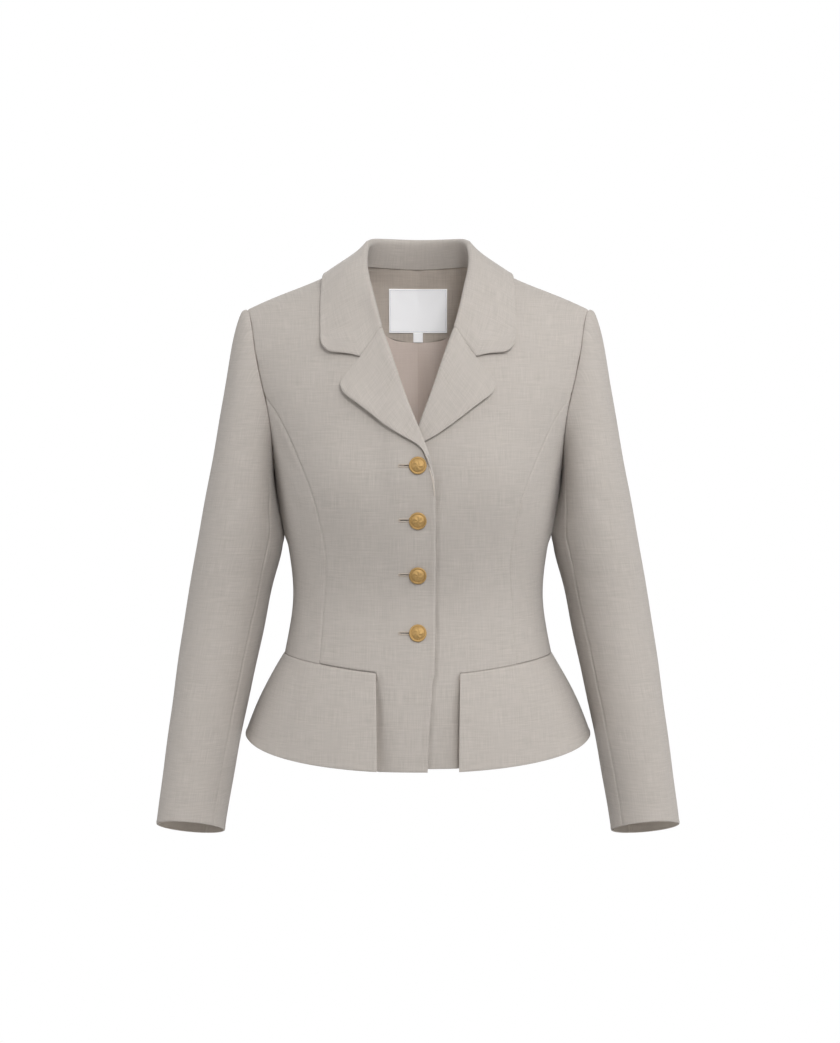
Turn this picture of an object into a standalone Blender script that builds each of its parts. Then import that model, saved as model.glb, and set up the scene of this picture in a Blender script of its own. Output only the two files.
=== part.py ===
"""Cropped jacket with a notched collar, princess seams, a flared peplum and four shank buttons.

Metres, +Z up. The origin is mid neck, level with the neck ends of the shoulder seams. The front faces
-Y and the wearer's left is +X. Each cut piece is a closed wall of cloth: a grid of points on its outer
face, and the same grid moved in by the wall. Half of the pieces are set out on the wearer's left and
mirrored. The right front laps over the left one.
"""

import math

import bpy
import numpy as np

# Cloth and fits
SHELL_WALL = 0.0016
COLLAR_WALL = 0.0020
LAPEL_WALL = 0.0012
LINING_WALL = 0.0010
LAYER_GAP = 0.0003
LINING_GAP = 0.0006
LABEL_GAP = 0.0010
SEAM_PULL = 0.0002
LONGEST_MITRE = 1.8
LEAST_SHARED_COSINE = 0.5
SHARED_WITHIN = 1e-5
TINY = 1e-9

# Body form
SHOULDER_SLOPE = 0.47
SHOULDER_REACH = 0.25
NECK_HALF = 0.075
NECK_ROUND = 0.030
SHOULDER_TIP = 0.1944
HOLLOW, HOLLOW_STARTS, HOLLOW_ENDS = 0.0036, (0.075, 0.105), (0.120, 0.185)
SQUARENESS = 0.10
BUST_OUT, BUST_DROP, BUST_RISE, BUST_WIDE, BUST_HIGH = 0.085, 0.245, 0.008, 0.045, 0.055
BUST_FADE = 0.3
SEARCH_PASSES = 60

# Closing
LAP_CLEAR, LAP_FADE = 0.021, 0.045
LAP_TOP = (-0.180, -0.140)
CROSSING = (-0.280, -0.240)
CROSSING_RISE = 0.0034
BUTTON_Z = (-0.228, -0.287, -0.347, -0.411)
BUTTON_STAND = 0.0005
SLIT_FROM, SLIT_TO, SLIT_HIGH, SLIT_DEEP = -0.0195, 0.0030, 0.0028, 0.016

# Waist seam and peplum
SEAM_Z, SEAM_FRONT_DIP, SEAM_BACK_DIP, SEAM_END_DIP = -0.443, 0.0125, 0.006, 0.004
PEPLUM_EDGE_X, PEPLUM_EDGE_HEM_X = 0.046, 0.0445
HEM_Z, HEM_FRONT_DIP, HEM_BACK_DIP, HEM_ROUND = -0.536, 0.0225, 0.006, 0.15
HEM_HALF, HEM_FRONT, HEM_BACK = 0.1977, 0.147, 0.148
PEPLUM_BELL = 0.07
TAIL_HEM_Z, LAPPED_LONGER = -0.5565, 0.0035
TUCK_BETWEEN = (0.028, 0.044)
UNDERLAP_RISE, UNDERLAP_BETWEEN = 0.011, (0.0450, 0.0560)

# Rows and columns of the grids
TAIL_COLUMNS, FRONT_COLUMNS, SIDE_COLUMNS, BACK_COLUMNS = 5, 10, 6, 8
BODY_ROWS, YOKE_ROWS, PEPLUM_ROWS, CAP_ROWS, SLEEVE_ROWS = 14, 6, 5, 7, 7
BREAK_ROW, GORGE_ROW = 8, 16
LAPEL_ROWS, GORGE_COLUMNS, TURN_STEPS, COLLAR_STEPS = 10, 3, 4, 3


def table(columns, *rows):
    """Columns of numbers by name, from one row for each section."""
    return dict(zip(columns.split(), np.array(rows, float).T))


TORSO = table(
    "drop half front back",
    (0.000, 0.2050, 0.000, 0.000),
    (0.004, 0.2050, 0.013, 0.036),
    (0.015, 0.2040, 0.029, 0.062),
    (0.035, 0.2020, 0.050, 0.080),
    (0.065, 0.1980, 0.074, 0.093),
    (0.100, 0.1910, 0.095, 0.102),
    (0.150, 0.1800, 0.117, 0.109),
    (0.200, 0.1690, 0.129, 0.112),
    (0.250, 0.1600, 0.133, 0.110),
    (0.320, 0.1480, 0.122, 0.100),
    (0.384, 0.1425, 0.110, 0.092),
    (0.443, 0.1520, 0.118, 0.103),
    (0.500, 0.1640, 0.127, 0.118),
    (0.570, 0.1750, 0.135, 0.128),
)
FRONT_EDGE = table(
    "x z",
    (-0.0105, -0.560),
    (-0.0130, -0.505),
    (-0.0160, -0.465),
    (-0.0180, -0.440),
    (-0.0190, -0.385),
    (-0.0190, -0.262),
)
NECK_EDGE = table(
    "x z",
    (-0.0190, -0.2620),
    (-0.0178, -0.2430),
    (-0.0125, -0.2290),
    (-0.0060, -0.2140),
    (0.0129, -0.1640),
    (0.0439, -0.0812),
)
NECK_SIDE = table("x z", (0.0439, -0.0812), (0.0545, -0.0550), (0.0685, -0.0145), (0.0750, 0.0))
TAIL = table(
    "below edge inset",
    (0.000, 0.0458, 0.0000),
    (0.006, 0.0456, 0.0026),
    (0.014, 0.0520, 0.0028),
    (0.032, 0.0570, 0.0026),
    (0.066, 0.0580, 0.0020),
)
PRINCESS_FRONT = table(
    "x z",
    (0.1090, -0.4450),
    (0.1035, -0.3770),
    (0.1025, -0.3200),
    (0.1060, -0.3000),
    (0.1135, -0.2660),
    (0.1330, -0.2180),
    (0.1540, -0.1750),
    (0.1720, -0.1490),
)
PRINCESS_BACK = table(
    "x z",
    (0.0850, -0.4450),
    (0.0800, -0.3900),
    (0.0830, -0.3500),
    (0.0950, -0.3000),
    (0.1220, -0.2350),
    (0.1500, -0.1850),
    (0.1720, -0.1500),
)
ARMHOLE_FRONT = table("x z", (0.1720, -0.1490), (0.1775, -0.1260), (0.1860, -0.0810))
ARMHOLE_BACK = table("x z", (0.1720, -0.1500), (0.1780, -0.1200), (0.1870, -0.0780))
UNDERARM_DROP = 0.232
UNDERARM_CLEAR = 0.0005
BACK_NECK_Z = -0.005
NECK_POWER, NECK_STEPS = 0.83, 13
NECK_ROOT, LOWEST_NECK_ROOT = 0.1, 0.3
FINE_STEPS = 400
SLEEVE = table(
    "z x y wide deep forward aside",
    (-0.316, 0.2025, 0.002, 0.0485, 0.061, 2.0, 0.0),
    (-0.405, 0.2200, 0.004, 0.0460, 0.057, 4.0, 1.5),
    (-0.494, 0.2357, -0.009, 0.0428, 0.052, 9.0, 3.0),
    (-0.566, 0.2466, -0.024, 0.0400, 0.047, 14.0, 4.0),
    (-0.638, 0.2563, -0.042, 0.0383, 0.043, 19.0, 4.5),
)
TOP_SEAM_COLUMN, UNDER_SEAM_COLUMN = 9, 17
CAP_LEAVE, CAP_LEAVE_SIDE, CAP_FORWARD = 0.014, 0.006, 0.25
CAP_ARRIVE, CAP_ARRIVE_TOP, CAP_SPACING = 0.45, 0.28, 1.25
UNDER_SIDE, UNDER_LEAVE, UNDER_OUT = (0.55, 0.95), 0.3, 0.003
COLLAR = table(
    "seam_x seam_y seam_z roll_x roll_y roll_z edge_x edge_z seat turn",
    (0.0000, 1, -0.0050, 0.0000, 0.0690, 0.0295, 0.0000, -0.0220, 0.0033, 0.0040),
    (0.0480, 1, -0.0030, 0.0400, 0.0500, 0.0290, 0.0600, -0.0235, 0.0033, 0.0040),
    (0.0690, 1, -0.0019, 0.0550, 0.0180, 0.0240, 0.0960, -0.0190, 0.0031, 0.0040),
    (0.0750, 0, 0.0000, 0.0568, -0.0070, 0.0087, 0.1065, -0.0185, 0.0026, 0.0039),
    (0.0685, -1, -0.0145, 0.0555, -0.0303, -0.0109, 0.1078, -0.0400, 0.0020, 0.0038),
    (0.0610, -1, -0.0370, 0.0505, -0.0553, -0.0328, 0.1080, -0.0615, 0.0016, 0.0036),
    (0.0545, -1, -0.0550, 0.0467, -0.0740, -0.0498, 0.1068, -0.0820, 0.0016, 0.0034),
)
ROLL = table("x z", (-0.0117, -0.2188), (-0.0085, -0.2085), (0.0084, -0.1624), (0.0377, -0.0790))
LAPEL_EDGE = table(
    "x z",
    (-0.0060, -0.2186),
    (-0.0032, -0.2150),
    (0.0084, -0.2048),
    (0.0281, -0.1900),
    (0.0479, -0.1755),
    (0.0694, -0.1590),
    (0.0800, -0.1490),
    (0.0826, -0.1420),
)
LAPEL_TOP = table("x z", (0.0622, -0.1107), (0.0714, -0.1223), (0.0806, -0.1352), (0.0826, -0.1420))
NOTCH = (0.0622, -0.1107)
COLLAR_FRONT = table("x z", (0.0622, -0.1107), (0.0820, -0.1075), (0.0985, -0.1045), (0.1045, -0.0975))
COLLAR_CLEAR = 0.0012
SHOULDER_SECTIONS, HIGH_ROOT, LEAST_ROOT = 8, 0.22, 0.003
NEAREST_PASSES, NEAREST_SHARE, NEAREST_STEP = 12, 0.8, 0.1
LAPEL_LEVEL, LAPEL_LIFT, SETTLE = 0.0021, 0.0042, 0.012
LAPEL_TURN_LOW, LAPEL_TURN_HIGH, LAPEL_TURN_GROWS = 0.0018, 0.0034, (0.4, 0.95)
LAPEL_SETBACK = table("share setback", (0.0, 0.0032), (0.2, 0.0040), (1.0, 0.0063))
ROLL_STEP = 0.004
COLLAR_LEAN, FALL_BEND, FALL_BULGE = 0.04, 0.4, 0.05
FACING_FOOT = table("column row", (0.0, 11.37), (1.0, 11.9), (2.0, 13.0), (2.7, 15.4), (3.0, 19.8))
FACING_STEPS, FACING_ROWS = 12, 5
FACING_NECK_COLUMN, FACING_NECK_DROP, FACING_END_DROP = 0.02, 0.005, 0.2
LINING_FIRST_ROW, LINING_BELOW_FACING, LINING_TURN_COLUMN, LINING_LAST_COLUMN = 0.3, 0.05, 2, 7.6
LABEL_HALF, LABEL_TOP, LABEL_FOOT = 0.034, -0.0268, -0.0775
LABEL_COLUMNS, LABEL_ROWS, LABEL_SHARE = 6, 4, 0.4
FACING_COLUMN_WIDE, FACING_HIGH = 0.011, 0.09
TAB_HALF, TAB_FOOT = 0.0055, -0.0885
BUTTON = table(
    "radius rise over_lap",
    (0.0000, 0.0000, 0),
    (0.0011, 0.0000, 0),
    (0.0011, 0.0001, 1),
    (0.0086, 0.0001, 1),
    (0.0095, 0.0008, 1),
    (0.0095, 0.0015, 1),
    (0.0089, 0.0021, 1),
    (0.0079, 0.0021, 1),
    (0.0074, 0.0017, 1),
    (0.0052, 0.0032, 1),
    (0.0028, 0.0039, 1),
    (0.0000, 0.0041, 1),
)
BUTTON_SIDES = 20


def spline(at, knots, values):
    """Natural cubic spline through one row of values for each knot."""
    knots, values = np.asarray(knots, float), np.asarray(values, float)
    step = np.diff(knots)
    system, load = np.eye(len(knots)), np.zeros(values.shape)
    rise = (np.diff(values, axis=0).T / step).T
    for i in range(1, len(knots) - 1):
        system[i, i - 1 : i + 2] = step[i - 1], 2 * (step[i - 1] + step[i]), step[i]
        load[i] = 6 * (rise[i] - rise[i - 1])
    bend = np.linalg.solve(system, load.reshape(len(knots), -1)).reshape(values.shape)
    at = np.asarray(at, float)
    i = np.clip(np.searchsorted(knots, at) - 1, 0, len(step) - 1)
    h = step[i]
    a, b = (knots[i + 1] - at) / h, (at - knots[i]) / h
    shape = at.shape + (1,) * (values.ndim - 1)
    a, b, h = a.reshape(shape), b.reshape(shape), h.reshape(shape)
    return a * values[i] + b * values[i + 1] + ((a**3 - a) * bend[i] + (b**3 - b) * bend[i + 1]) * h * h / 6


def run(points, count):
    """count equal steps along a smooth curve through points."""
    points = np.asarray(points, float)
    along = np.concatenate([[0], np.cumsum(np.linalg.norm(np.diff(points, axis=0), axis=1))])
    fine = spline(np.linspace(0, along[-1], FINE_STEPS), along, points)
    length = np.concatenate([[0], np.cumsum(np.linalg.norm(np.diff(fine, axis=0), axis=1))])
    share = np.linspace(0, length[-1], count + 1)
    return np.stack([np.interp(share, length, fine[:, k]) for k in range(points.shape[1])], 1)


def rows_of(named):
    return np.stack([named["x"], named["z"]], 1)


def smoothstep(low, high, value):
    t = np.clip((value - low) / (high - low), 0, 1)
    return t * t * (3 - 2 * t)


def unit(vectors):
    return vectors / np.maximum(np.linalg.norm(vectors, axis=-1, keepdims=True), TINY)


def fall_of(x):
    """How far the shoulder line falls: a slope from the neck, and a hollow beside the collar."""
    hollow = smoothstep(*HOLLOW_STARTS, np.abs(x)) * (1 - smoothstep(*HOLLOW_ENDS, np.abs(x)))
    return SHOULDER_SLOPE * (np.hypot(x, NECK_ROUND) - math.hypot(NECK_HALF, NECK_ROUND)) + HOLLOW * hollow


def section(root):
    knots = np.sqrt(TORSO["drop"])
    values = np.stack([TORSO["half"], TORSO["front"], TORSO["back"]], 1)
    return np.moveaxis(spline(np.clip(root, 0, knots[-1]), knots, values), -1, 0)


def body_point(angle, root):
    """The outer face of the body, from the angle round it and the root of the drop below the shoulder."""
    half, front, back = section(root)
    side, ahead, drop = np.sin(angle), np.cos(angle), root * root
    x = half * side
    y = -np.where(ahead > 0, front, back) * ahead * (1 + SQUARENESS * side * side)
    bust = np.exp(-(((np.abs(x) - BUST_OUT) / BUST_WIDE) ** 2) - ((drop - BUST_DROP) / BUST_HIGH) ** 2)
    y = y - BUST_RISE * bust * smoothstep(0, BUST_FADE, ahead)
    z = -drop - fall_of(x) * (1 - smoothstep(0, SHOULDER_REACH, drop))
    return np.stack([x, y, z], -1)


def body_normal(angle, root):
    tiny = 1e-4
    round_it = body_point(angle + tiny, root) - body_point(angle - tiny, root)
    down = body_point(angle, root + tiny) - body_point(angle, np.maximum(root - tiny, 0))
    return unit(np.cross(down, round_it))


def locate(x, z, back=False):
    """Angle and root of the body point that shows at x and z."""
    x, z = np.asarray(x, float), np.asarray(z, float)
    drop = np.maximum(-z, 0)
    for _ in range(SEARCH_PASSES):
        wanted = np.maximum(-z - fall_of(x) * (1 - smoothstep(0, SHOULDER_REACH, drop)), 0)
        drop = 0.5 * (drop + wanted)
    root = np.sqrt(drop)
    angle = np.arcsin(np.clip(x / section(root)[0], -1, 1))
    return np.stack([math.pi - angle if back else angle, root], -1)


def seam_at(angle):
    """Waist seam: angle and root, so that the seam dips to the front."""
    angle = np.asarray(angle, float)
    ahead = np.cos(angle)
    z = SEAM_Z - np.where(ahead > 0, SEAM_FRONT_DIP, SEAM_BACK_DIP) * np.abs(ahead) ** 3
    return np.stack([angle, np.sqrt(-z)], -1)


def coons(bottom, top, left, right):
    """A grid of rows and columns inside four sides."""
    u = np.linspace(0, 1, len(bottom))[None, :, None]
    v = np.linspace(0, 1, len(left))[:, None, None]
    ruled = (1 - v) * bottom[None] + v * top[None] + (1 - u) * left[:, None] + u * right[:, None]
    corners = (1 - v) * ((1 - u) * bottom[0] + u * bottom[-1]) + v * ((1 - u) * top[0] + u * top[-1])
    return ruled - corners


def on_body(domain, level=0.0):
    """Points at a level above the body's outer face."""
    angle, root = domain[..., 0], domain[..., 1]
    return body_point(angle, root) + body_normal(angle, root) * np.asarray(level)[..., None]


def lap_lift(x, z):
    """How far the right front is raised where it laps over the left one."""
    across = 1 - smoothstep(LAP_CLEAR, LAP_FADE, x)
    below_neck = 1 - smoothstep(*LAP_TOP, z)
    crossing = CROSSING_RISE * smoothstep(*CROSSING, z)
    return across * below_neck * (SHELL_WALL + LAYER_GAP + crossing)


def no_lift(x, z):
    return np.zeros(np.shape(x))


def mirrored(points):
    return points * np.array([-1.0, 1.0, 1.0])


# Seams of the left half, as angle and root
corner_angle = math.asin(SHOULDER_TIP / section(np.array(0.0))[0])
tip = np.array([[corner_angle, 0.0]])
back_tip = np.array([[math.pi - corner_angle, 0.0]])
princess_rows = rows_of(PRINCESS_FRONT)
princess_back_rows = rows_of(PRINCESS_BACK)
front_seam_end = locate(princess_rows[0, 0], SEAM_Z - SEAM_END_DIP)[0]
back_seam_end = locate(princess_back_rows[0, 0], SEAM_Z - SEAM_END_DIP, True)[0]
princess = locate(*run(princess_rows, BODY_ROWS).T)
princess[0] = seam_at(front_seam_end)
princess_back = locate(*run(princess_back_rows, BODY_ROWS).T, True)
princess_back[0] = seam_at(back_seam_end)
armhole_front = run(np.concatenate([locate(*rows_of(ARMHOLE_FRONT).T), tip]), YOKE_ROWS)
armhole_back = run(np.concatenate([locate(*rows_of(ARMHOLE_BACK).T, True), back_tip]), YOKE_ROWS)
underarm_root = math.sqrt(UNDERARM_DROP)


def scoop(start):
    """Lower armhole: from the princess seam down and round to the underarm."""
    turn = np.linspace(0, math.pi / 2, SIDE_COLUMNS + 1)
    angle = start[0] + (math.pi / 2 - start[0]) * (1 - np.cos(turn))
    root = start[1] + (underarm_root - start[1]) * np.sin(turn)
    return np.stack([angle, root], 1)


scoop_front, scoop_back = scoop(armhole_front[0]), scoop(armhole_back[0])
side_root = np.linspace(math.sqrt(-SEAM_Z), underarm_root, BODY_ROWS + 1)
side_seam = np.stack([np.full(BODY_ROWS + 1, math.pi / 2), side_root], 1)


def angles_between(first, last, count):
    return seam_at(np.linspace(first, last, count + 1))


# Centre front, with its tail
edge_top = locate(FRONT_EDGE["x"][3], SEAM_Z - SEAM_FRONT_DIP)[0]
corner_seam = locate(PEPLUM_EDGE_X, SEAM_Z - SEAM_FRONT_DIP)[0]
front_bottom = np.concatenate(
    [
        angles_between(edge_top, corner_seam, TAIL_COLUMNS),
        angles_between(corner_seam, front_seam_end, FRONT_COLUMNS - TAIL_COLUMNS)[1:],
    ]
)
upper_edge = rows_of(FRONT_EDGE)[3:].copy()
upper_edge[0] = FRONT_EDGE["x"][3], SEAM_Z - SEAM_FRONT_DIP
front_left_side = np.concatenate(
    [
        locate(*run(upper_edge, BREAK_ROW).T),
        locate(*run(rows_of(NECK_EDGE), GORGE_ROW - BREAK_ROW).T)[1:],
        locate(*run(rows_of(NECK_SIDE), BODY_ROWS + YOKE_ROWS - GORGE_ROW).T)[1:],
    ]
)
front_left_side[0] = front_bottom[0]
neck_corner = np.array([math.asin(NECK_HALF / section(np.array(0.0))[0]), 0.0])
front_left_side[-1] = neck_corner
shoulder = np.linspace(neck_corner, tip[0], FRONT_COLUMNS + 1)
front_domain = coons(front_bottom, shoulder, front_left_side, np.concatenate([princess, armhole_front[1:]]))


def front_panel(lift, longer=0.0):
    """Points of the centre front, rows from the hem up, and which cells it has. Its tail can be longer."""
    body = on_body(front_domain)
    x, z = body[..., 0], body[..., 2]
    upper = on_body(front_domain, lift(x, z))
    tail = []
    depth = np.append(TAIL["below"], SEAM_Z - SEAM_FRONT_DIP - TAIL_HEM_Z + longer)
    edge = np.append(TAIL["edge"], TAIL["edge"][-1])
    inset = np.append(TAIL["inset"], TAIL["inset"][-1])
    share = np.linspace(0, 1, TAIL_COLUMNS + 1)
    for below, out, deep in list(zip(depth, edge, inset))[:0:-1]:
        height = SEAM_Z - SEAM_FRONT_DIP - below
        start = np.interp(height, FRONT_EDGE["z"], FRONT_EDGE["x"])
        row_x = start + (out - start) * share
        row_z = height + UNDERLAP_RISE * smoothstep(*UNDERLAP_BETWEEN, row_x) * below / depth[-1]
        tuck = deep * smoothstep(*TUCK_BETWEEN, row_x)
        row = on_body(locate(row_x, row_z), lift(row_x, row_z) - tuck)
        tail.append(np.concatenate([row, np.repeat(row[-1:], FRONT_COLUMNS - TAIL_COLUMNS, 0)]))
    points = np.concatenate([np.array(tail), upper])
    cells = np.ones((len(points) - 1, FRONT_COLUMNS), bool)
    cells[: len(tail), TAIL_COLUMNS:] = False
    return points, cells


# Side front, side back and centre back
side_front_domain = coons(
    angles_between(front_seam_end, math.pi / 2, SIDE_COLUMNS), scoop_front, princess, side_seam
)
side_back_domain = coons(
    angles_between(back_seam_end, math.pi / 2, SIDE_COLUMNS), scoop_back, princess_back, side_seam
)
neck_turn = np.linspace(0, math.pi / 2, NECK_STEPS + 1)
back_neck_depth = body_point(*locate(0.0, BACK_NECK_Z, True))[1]
neck_plan = np.stack([np.sin(neck_turn), np.cos(neck_turn)], 1) ** NECK_POWER * (NECK_HALF, back_neck_depth)
neck_plan[-1] = NECK_HALF, 0
neck_x, neck_y = run(neck_plan, YOKE_ROWS).T
fine_root = np.linspace(0, LOWEST_NECK_ROOT, FINE_STEPS)
neck_angle = np.arcsin(neck_x / section(np.array(NECK_ROOT))[0])
neck_depth = neck_y / (np.cos(neck_angle) * (1 + SQUARENESS * np.sin(neck_angle) ** 2))
back_neck_line = np.stack([math.pi - neck_angle, np.interp(neck_depth, section(fine_root)[2], fine_root)], 1)
back_neck_line[-1] = math.pi - neck_corner[0], 0.0
centre_z = np.linspace(SEAM_Z - SEAM_BACK_DIP, BACK_NECK_Z, BODY_ROWS + 1)
centre_back = locate(np.zeros(BODY_ROWS + 1), centre_z, True)
centre_back[0] = seam_at(math.pi)
centre_back[-1] = back_neck_line[0]
back_domain = coons(
    angles_between(math.pi, back_seam_end, BACK_COLUMNS),
    np.linspace(back_neck_line[-1], back_tip[0], BACK_COLUMNS + 1),
    np.concatenate([centre_back, back_neck_line[1:]]),
    np.concatenate([princess_back, armhole_back[1:]]),
)


# Peplum, hung from the waist seam's own points
def peplum(angles):
    top = on_body(seam_at(angles))
    first = math.asin(PEPLUM_EDGE_HEM_X / HEM_HALF)
    spread = np.where(
        angles < math.pi / 2,
        first + (angles - corner_seam) * (math.pi / 2 - first) / (math.pi / 2 - corner_seam),
        angles,
    )
    side, ahead = np.sin(spread), np.cos(spread)
    deep = np.where(ahead > 0, HEM_FRONT, HEM_BACK)
    dip = np.where(ahead > 0, HEM_FRONT_DIP, HEM_BACK_DIP)
    share = (np.hypot(ahead, HEM_ROUND) - HEM_ROUND) / (math.hypot(1, HEM_ROUND) - HEM_ROUND)
    hem = np.stack([HEM_HALF * side, -deep * ahead * (1 + SQUARENESS * side**2), HEM_Z - dip * share], 1)
    share = np.linspace(1, 0, PEPLUM_ROWS + 1)[:, None, None]
    out = share + PEPLUM_BELL * np.sin(math.pi * share)
    points = top + (hem - top) * out
    points[..., 2] = top[:, 2] + (hem - top)[:, 2] * share[..., 0]
    return points


front_peplum_angles = np.concatenate(
    [front_bottom[TAIL_COLUMNS:, 0], np.linspace(front_seam_end, math.pi / 2, SIDE_COLUMNS + 1)[1:]]
)
back_peplum_angles = np.concatenate(
    [
        np.linspace(math.pi / 2, back_seam_end, SIDE_COLUMNS + 1),
        np.linspace(back_seam_end, math.pi, BACK_COLUMNS + 1)[1:],
    ]
)

# Sleeve: rings on a bent axis, joined to the armhole by smooth lines
armhole_loop = np.concatenate(
    [
        on_body(armhole_front)[::-1],
        on_body(scoop_front)[1:],
        on_body(scoop_back)[::-1][1:],
        on_body(armhole_back)[1:],
    ]
)
HALF_LOOP = YOKE_ROWS + SIDE_COLUMNS


def loop_angles():
    """Angle round the sleeve for each point of the armhole: nothing at the tip, half a turn under the arm."""
    steps = np.linalg.norm(np.diff(armhole_loop, axis=0), axis=1)
    front, back = np.cumsum(steps[:HALF_LOOP]), np.cumsum(steps[HALF_LOOP:])
    return np.concatenate([[0], math.pi * front / front[-1], math.pi + math.pi * back / back[-1]])


def sleeve_grid():
    """Rows from the armhole to the cuff, columns round the arm from the tip forward."""
    turn = loop_angles()
    z = np.linspace(SLEEVE["z"][0], SLEEVE["z"][-1], SLEEVE_ROWS + 1)
    keys = ("x", "y", "wide", "deep", "forward", "aside")
    x, y, wide, deep, forward, aside = (spline(-z, -SLEEVE["z"], SLEEVE[k]) for k in keys)
    forward, aside = np.radians(forward), np.radians(aside)
    nought = np.zeros(len(z))
    across = np.stack([np.cos(aside), nought, np.sin(aside)], 1)[:, None]
    ahead = np.stack([nought, -np.cos(forward), np.sin(forward)], 1)[:, None]
    centre = np.stack([x, y, z], 1)[:, None]
    rings = (
        centre
        + across * (wide[:, None] * np.cos(turn))[..., None]
        + ahead * (deep[:, None] * np.sin(turn))[..., None]
    )
    down = unit(centre[1, 0] - centre[0, 0])
    share = ((1 - np.cos(turn)) / 2)[:, None]
    leave = unit(
        (1 - share) * np.array([1.0, 0, 0])
        + share * down
        + CAP_FORWARD * np.sin(turn)[:, None] * np.array([0, -1.0, 0])
    )
    start = armhole_loop + np.array([1.0, 0, 0]) * UNDERARM_CLEAR * share**2
    reach = np.linalg.norm(rings[0] - start, axis=1)[:, None]
    straight = unit(rings[0] - start)
    under = smoothstep(*UNDER_SIDE, share)
    first = start + leave * (CAP_LEAVE + CAP_LEAVE_SIDE * np.sin(turn)[:, None] ** 2) * (1 - under)
    first = first + (straight * UNDER_LEAVE * reach + np.array([UNDER_OUT, 0, 0])) * under
    along = unit(down * (1 - under) + straight * under)
    over = np.maximum(np.cos(turn), 0)[:, None]
    second = rings[0] - along * reach * (CAP_ARRIVE + CAP_ARRIVE_TOP * over**2)
    t = np.linspace(0, 1, CAP_ROWS + 1)[:-1, None, None] ** CAP_SPACING
    cap = (
        (1 - t) ** 3 * start
        + 3 * (1 - t) ** 2 * t * first
        + 3 * (1 - t) * t**2 * second
        + t**3 * rings[0]
    )
    return np.concatenate([cap, rings])


# Turned cloth: lapel and collar
def turn_profile(apex, inward, outward, radius, foot):
    """Visible points from the foot of the stand round the roll: foot, then half a circle."""
    middle = apex + inward * radius
    swing = np.linspace(0, math.pi, TURN_STEPS + 1)[:, None]
    arc = middle - radius * (inward * np.sin(swing) + outward * np.cos(swing))
    return np.concatenate([foot[None], arc])


def lapel_rows():
    """Roll line, its direction into the cloth and the turn's radius, for each row from the break up."""
    roll = run(rows_of(ROLL), LAPEL_ROWS)
    ahead = unit(np.gradient(roll, axis=0))
    inward = np.stack([ahead[:, 1], -ahead[:, 0]], 1)
    share = np.linspace(0, 1, LAPEL_ROWS + 1)
    radius = LAPEL_TURN_LOW + (LAPEL_TURN_HIGH - LAPEL_TURN_LOW) * smoothstep(*LAPEL_TURN_GROWS, share)
    setback = np.interp(share, *LAPEL_SETBACK.values())
    return roll, inward, radius, setback


def lapel_level(distance, radius, share):
    """Height of the lapel's face above the front: it settles from the roll and lifts at the edge."""
    start = 2 * radius - SHELL_WALL
    return LAPEL_LEVEL + (start - LAPEL_LEVEL) * np.exp(-distance / SETTLE) + LAPEL_LIFT * share**2


def lapel_grid(lift):
    roll, inward, radius, setback = lapel_rows()
    start = roll + inward * radius[:, None]
    top = np.concatenate([run([start[-1], NOTCH], GORGE_COLUMNS), run(rows_of(LAPEL_TOP), GORGE_COLUMNS)[1:]])
    edge = run(rows_of(LAPEL_EDGE), LAPEL_ROWS)
    flat = coons(np.linspace(start[0], edge[0], len(top)), top, start, edge)
    distance = np.linalg.norm(flat - start[:, None], axis=2)
    reach = np.linspace(0, 1, LAPEL_ROWS + 1)[:, None] * np.linspace(0, 1, len(top))[None]
    level = lapel_level(distance, radius[:, None], reach) + lift(flat[..., 0], flat[..., 1])
    face = on_body(locate(flat[..., 0], flat[..., 1]), level)
    rows = []
    for i in range(LAPEL_ROWS + 1):
        at = locate(*roll[i])
        point, out = body_point(*at), body_normal(*at)
        into = unit(body_point(*locate(*(roll[i] + inward[i] * ROLL_STEP))) - point)
        low = float(lift(*roll[i])) - SHELL_WALL
        foot = point + into * (setback[i] - 2 * SEAM_PULL) + out * low
        turn = turn_profile(point + out * (low + radius[i]), into, out, radius[i], foot)
        turn[-1] = face[i, 0]
        rows.append(np.concatenate([turn, face[i, 1:]]))
    return np.array(rows)


def nearest_body(points):
    """Nearest body point to each point, and its normal, by repeated steps over the angle and root."""
    x, y, z = np.moveaxis(points, -1, 0)
    behind = y > 0
    low = np.where(behind[..., None], locate(x, z, True), locate(x, z))
    drop, front, back = (TORSO[k][:SHOULDER_SECTIONS] for k in ("drop", "front", "back"))
    by_depth = np.where(behind, np.interp(y, back, np.sqrt(drop)), np.interp(-y, front, np.sqrt(drop)))
    high_angle = np.arcsin(np.clip(x / section(by_depth)[0], -1, 1))
    high = np.stack([np.where(behind, math.pi - high_angle, high_angle), by_depth], -1)
    place = np.where((low[..., 1] < HIGH_ROOT)[..., None], high, low)
    tiny = 1e-4
    for _ in range(NEAREST_PASSES):
        angle, root = place[..., 0], place[..., 1]
        here = body_point(angle, root)
        moves = [(body_point(a, r) - here) / tiny for a, r in ((angle + tiny, root), (angle, root + tiny))]
        sums = np.stack([np.stack([(p * q).sum(-1) for q in moves], -1) for p in moves], -2)
        wanted = np.stack([((points - here) * p).sum(-1) for p in moves], -1)
        step = np.linalg.solve(sums + TINY * np.eye(2), wanted[..., None])[..., 0]
        place = place + NEAREST_SHARE * np.clip(step, -NEAREST_STEP, NEAREST_STEP)
        place[..., 1] = np.maximum(place[..., 1], LEAST_ROOT)
    return body_point(place[..., 0], place[..., 1]), body_normal(place[..., 0], place[..., 1])


def keep_clear(points, level):
    """Points moved out, where they would come nearer to the body than the level."""
    surface, normal = nearest_body(points)
    short = level - ((points - surface) * normal).sum(-1)
    return points + normal * np.maximum(short, 0)[..., None]


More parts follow.
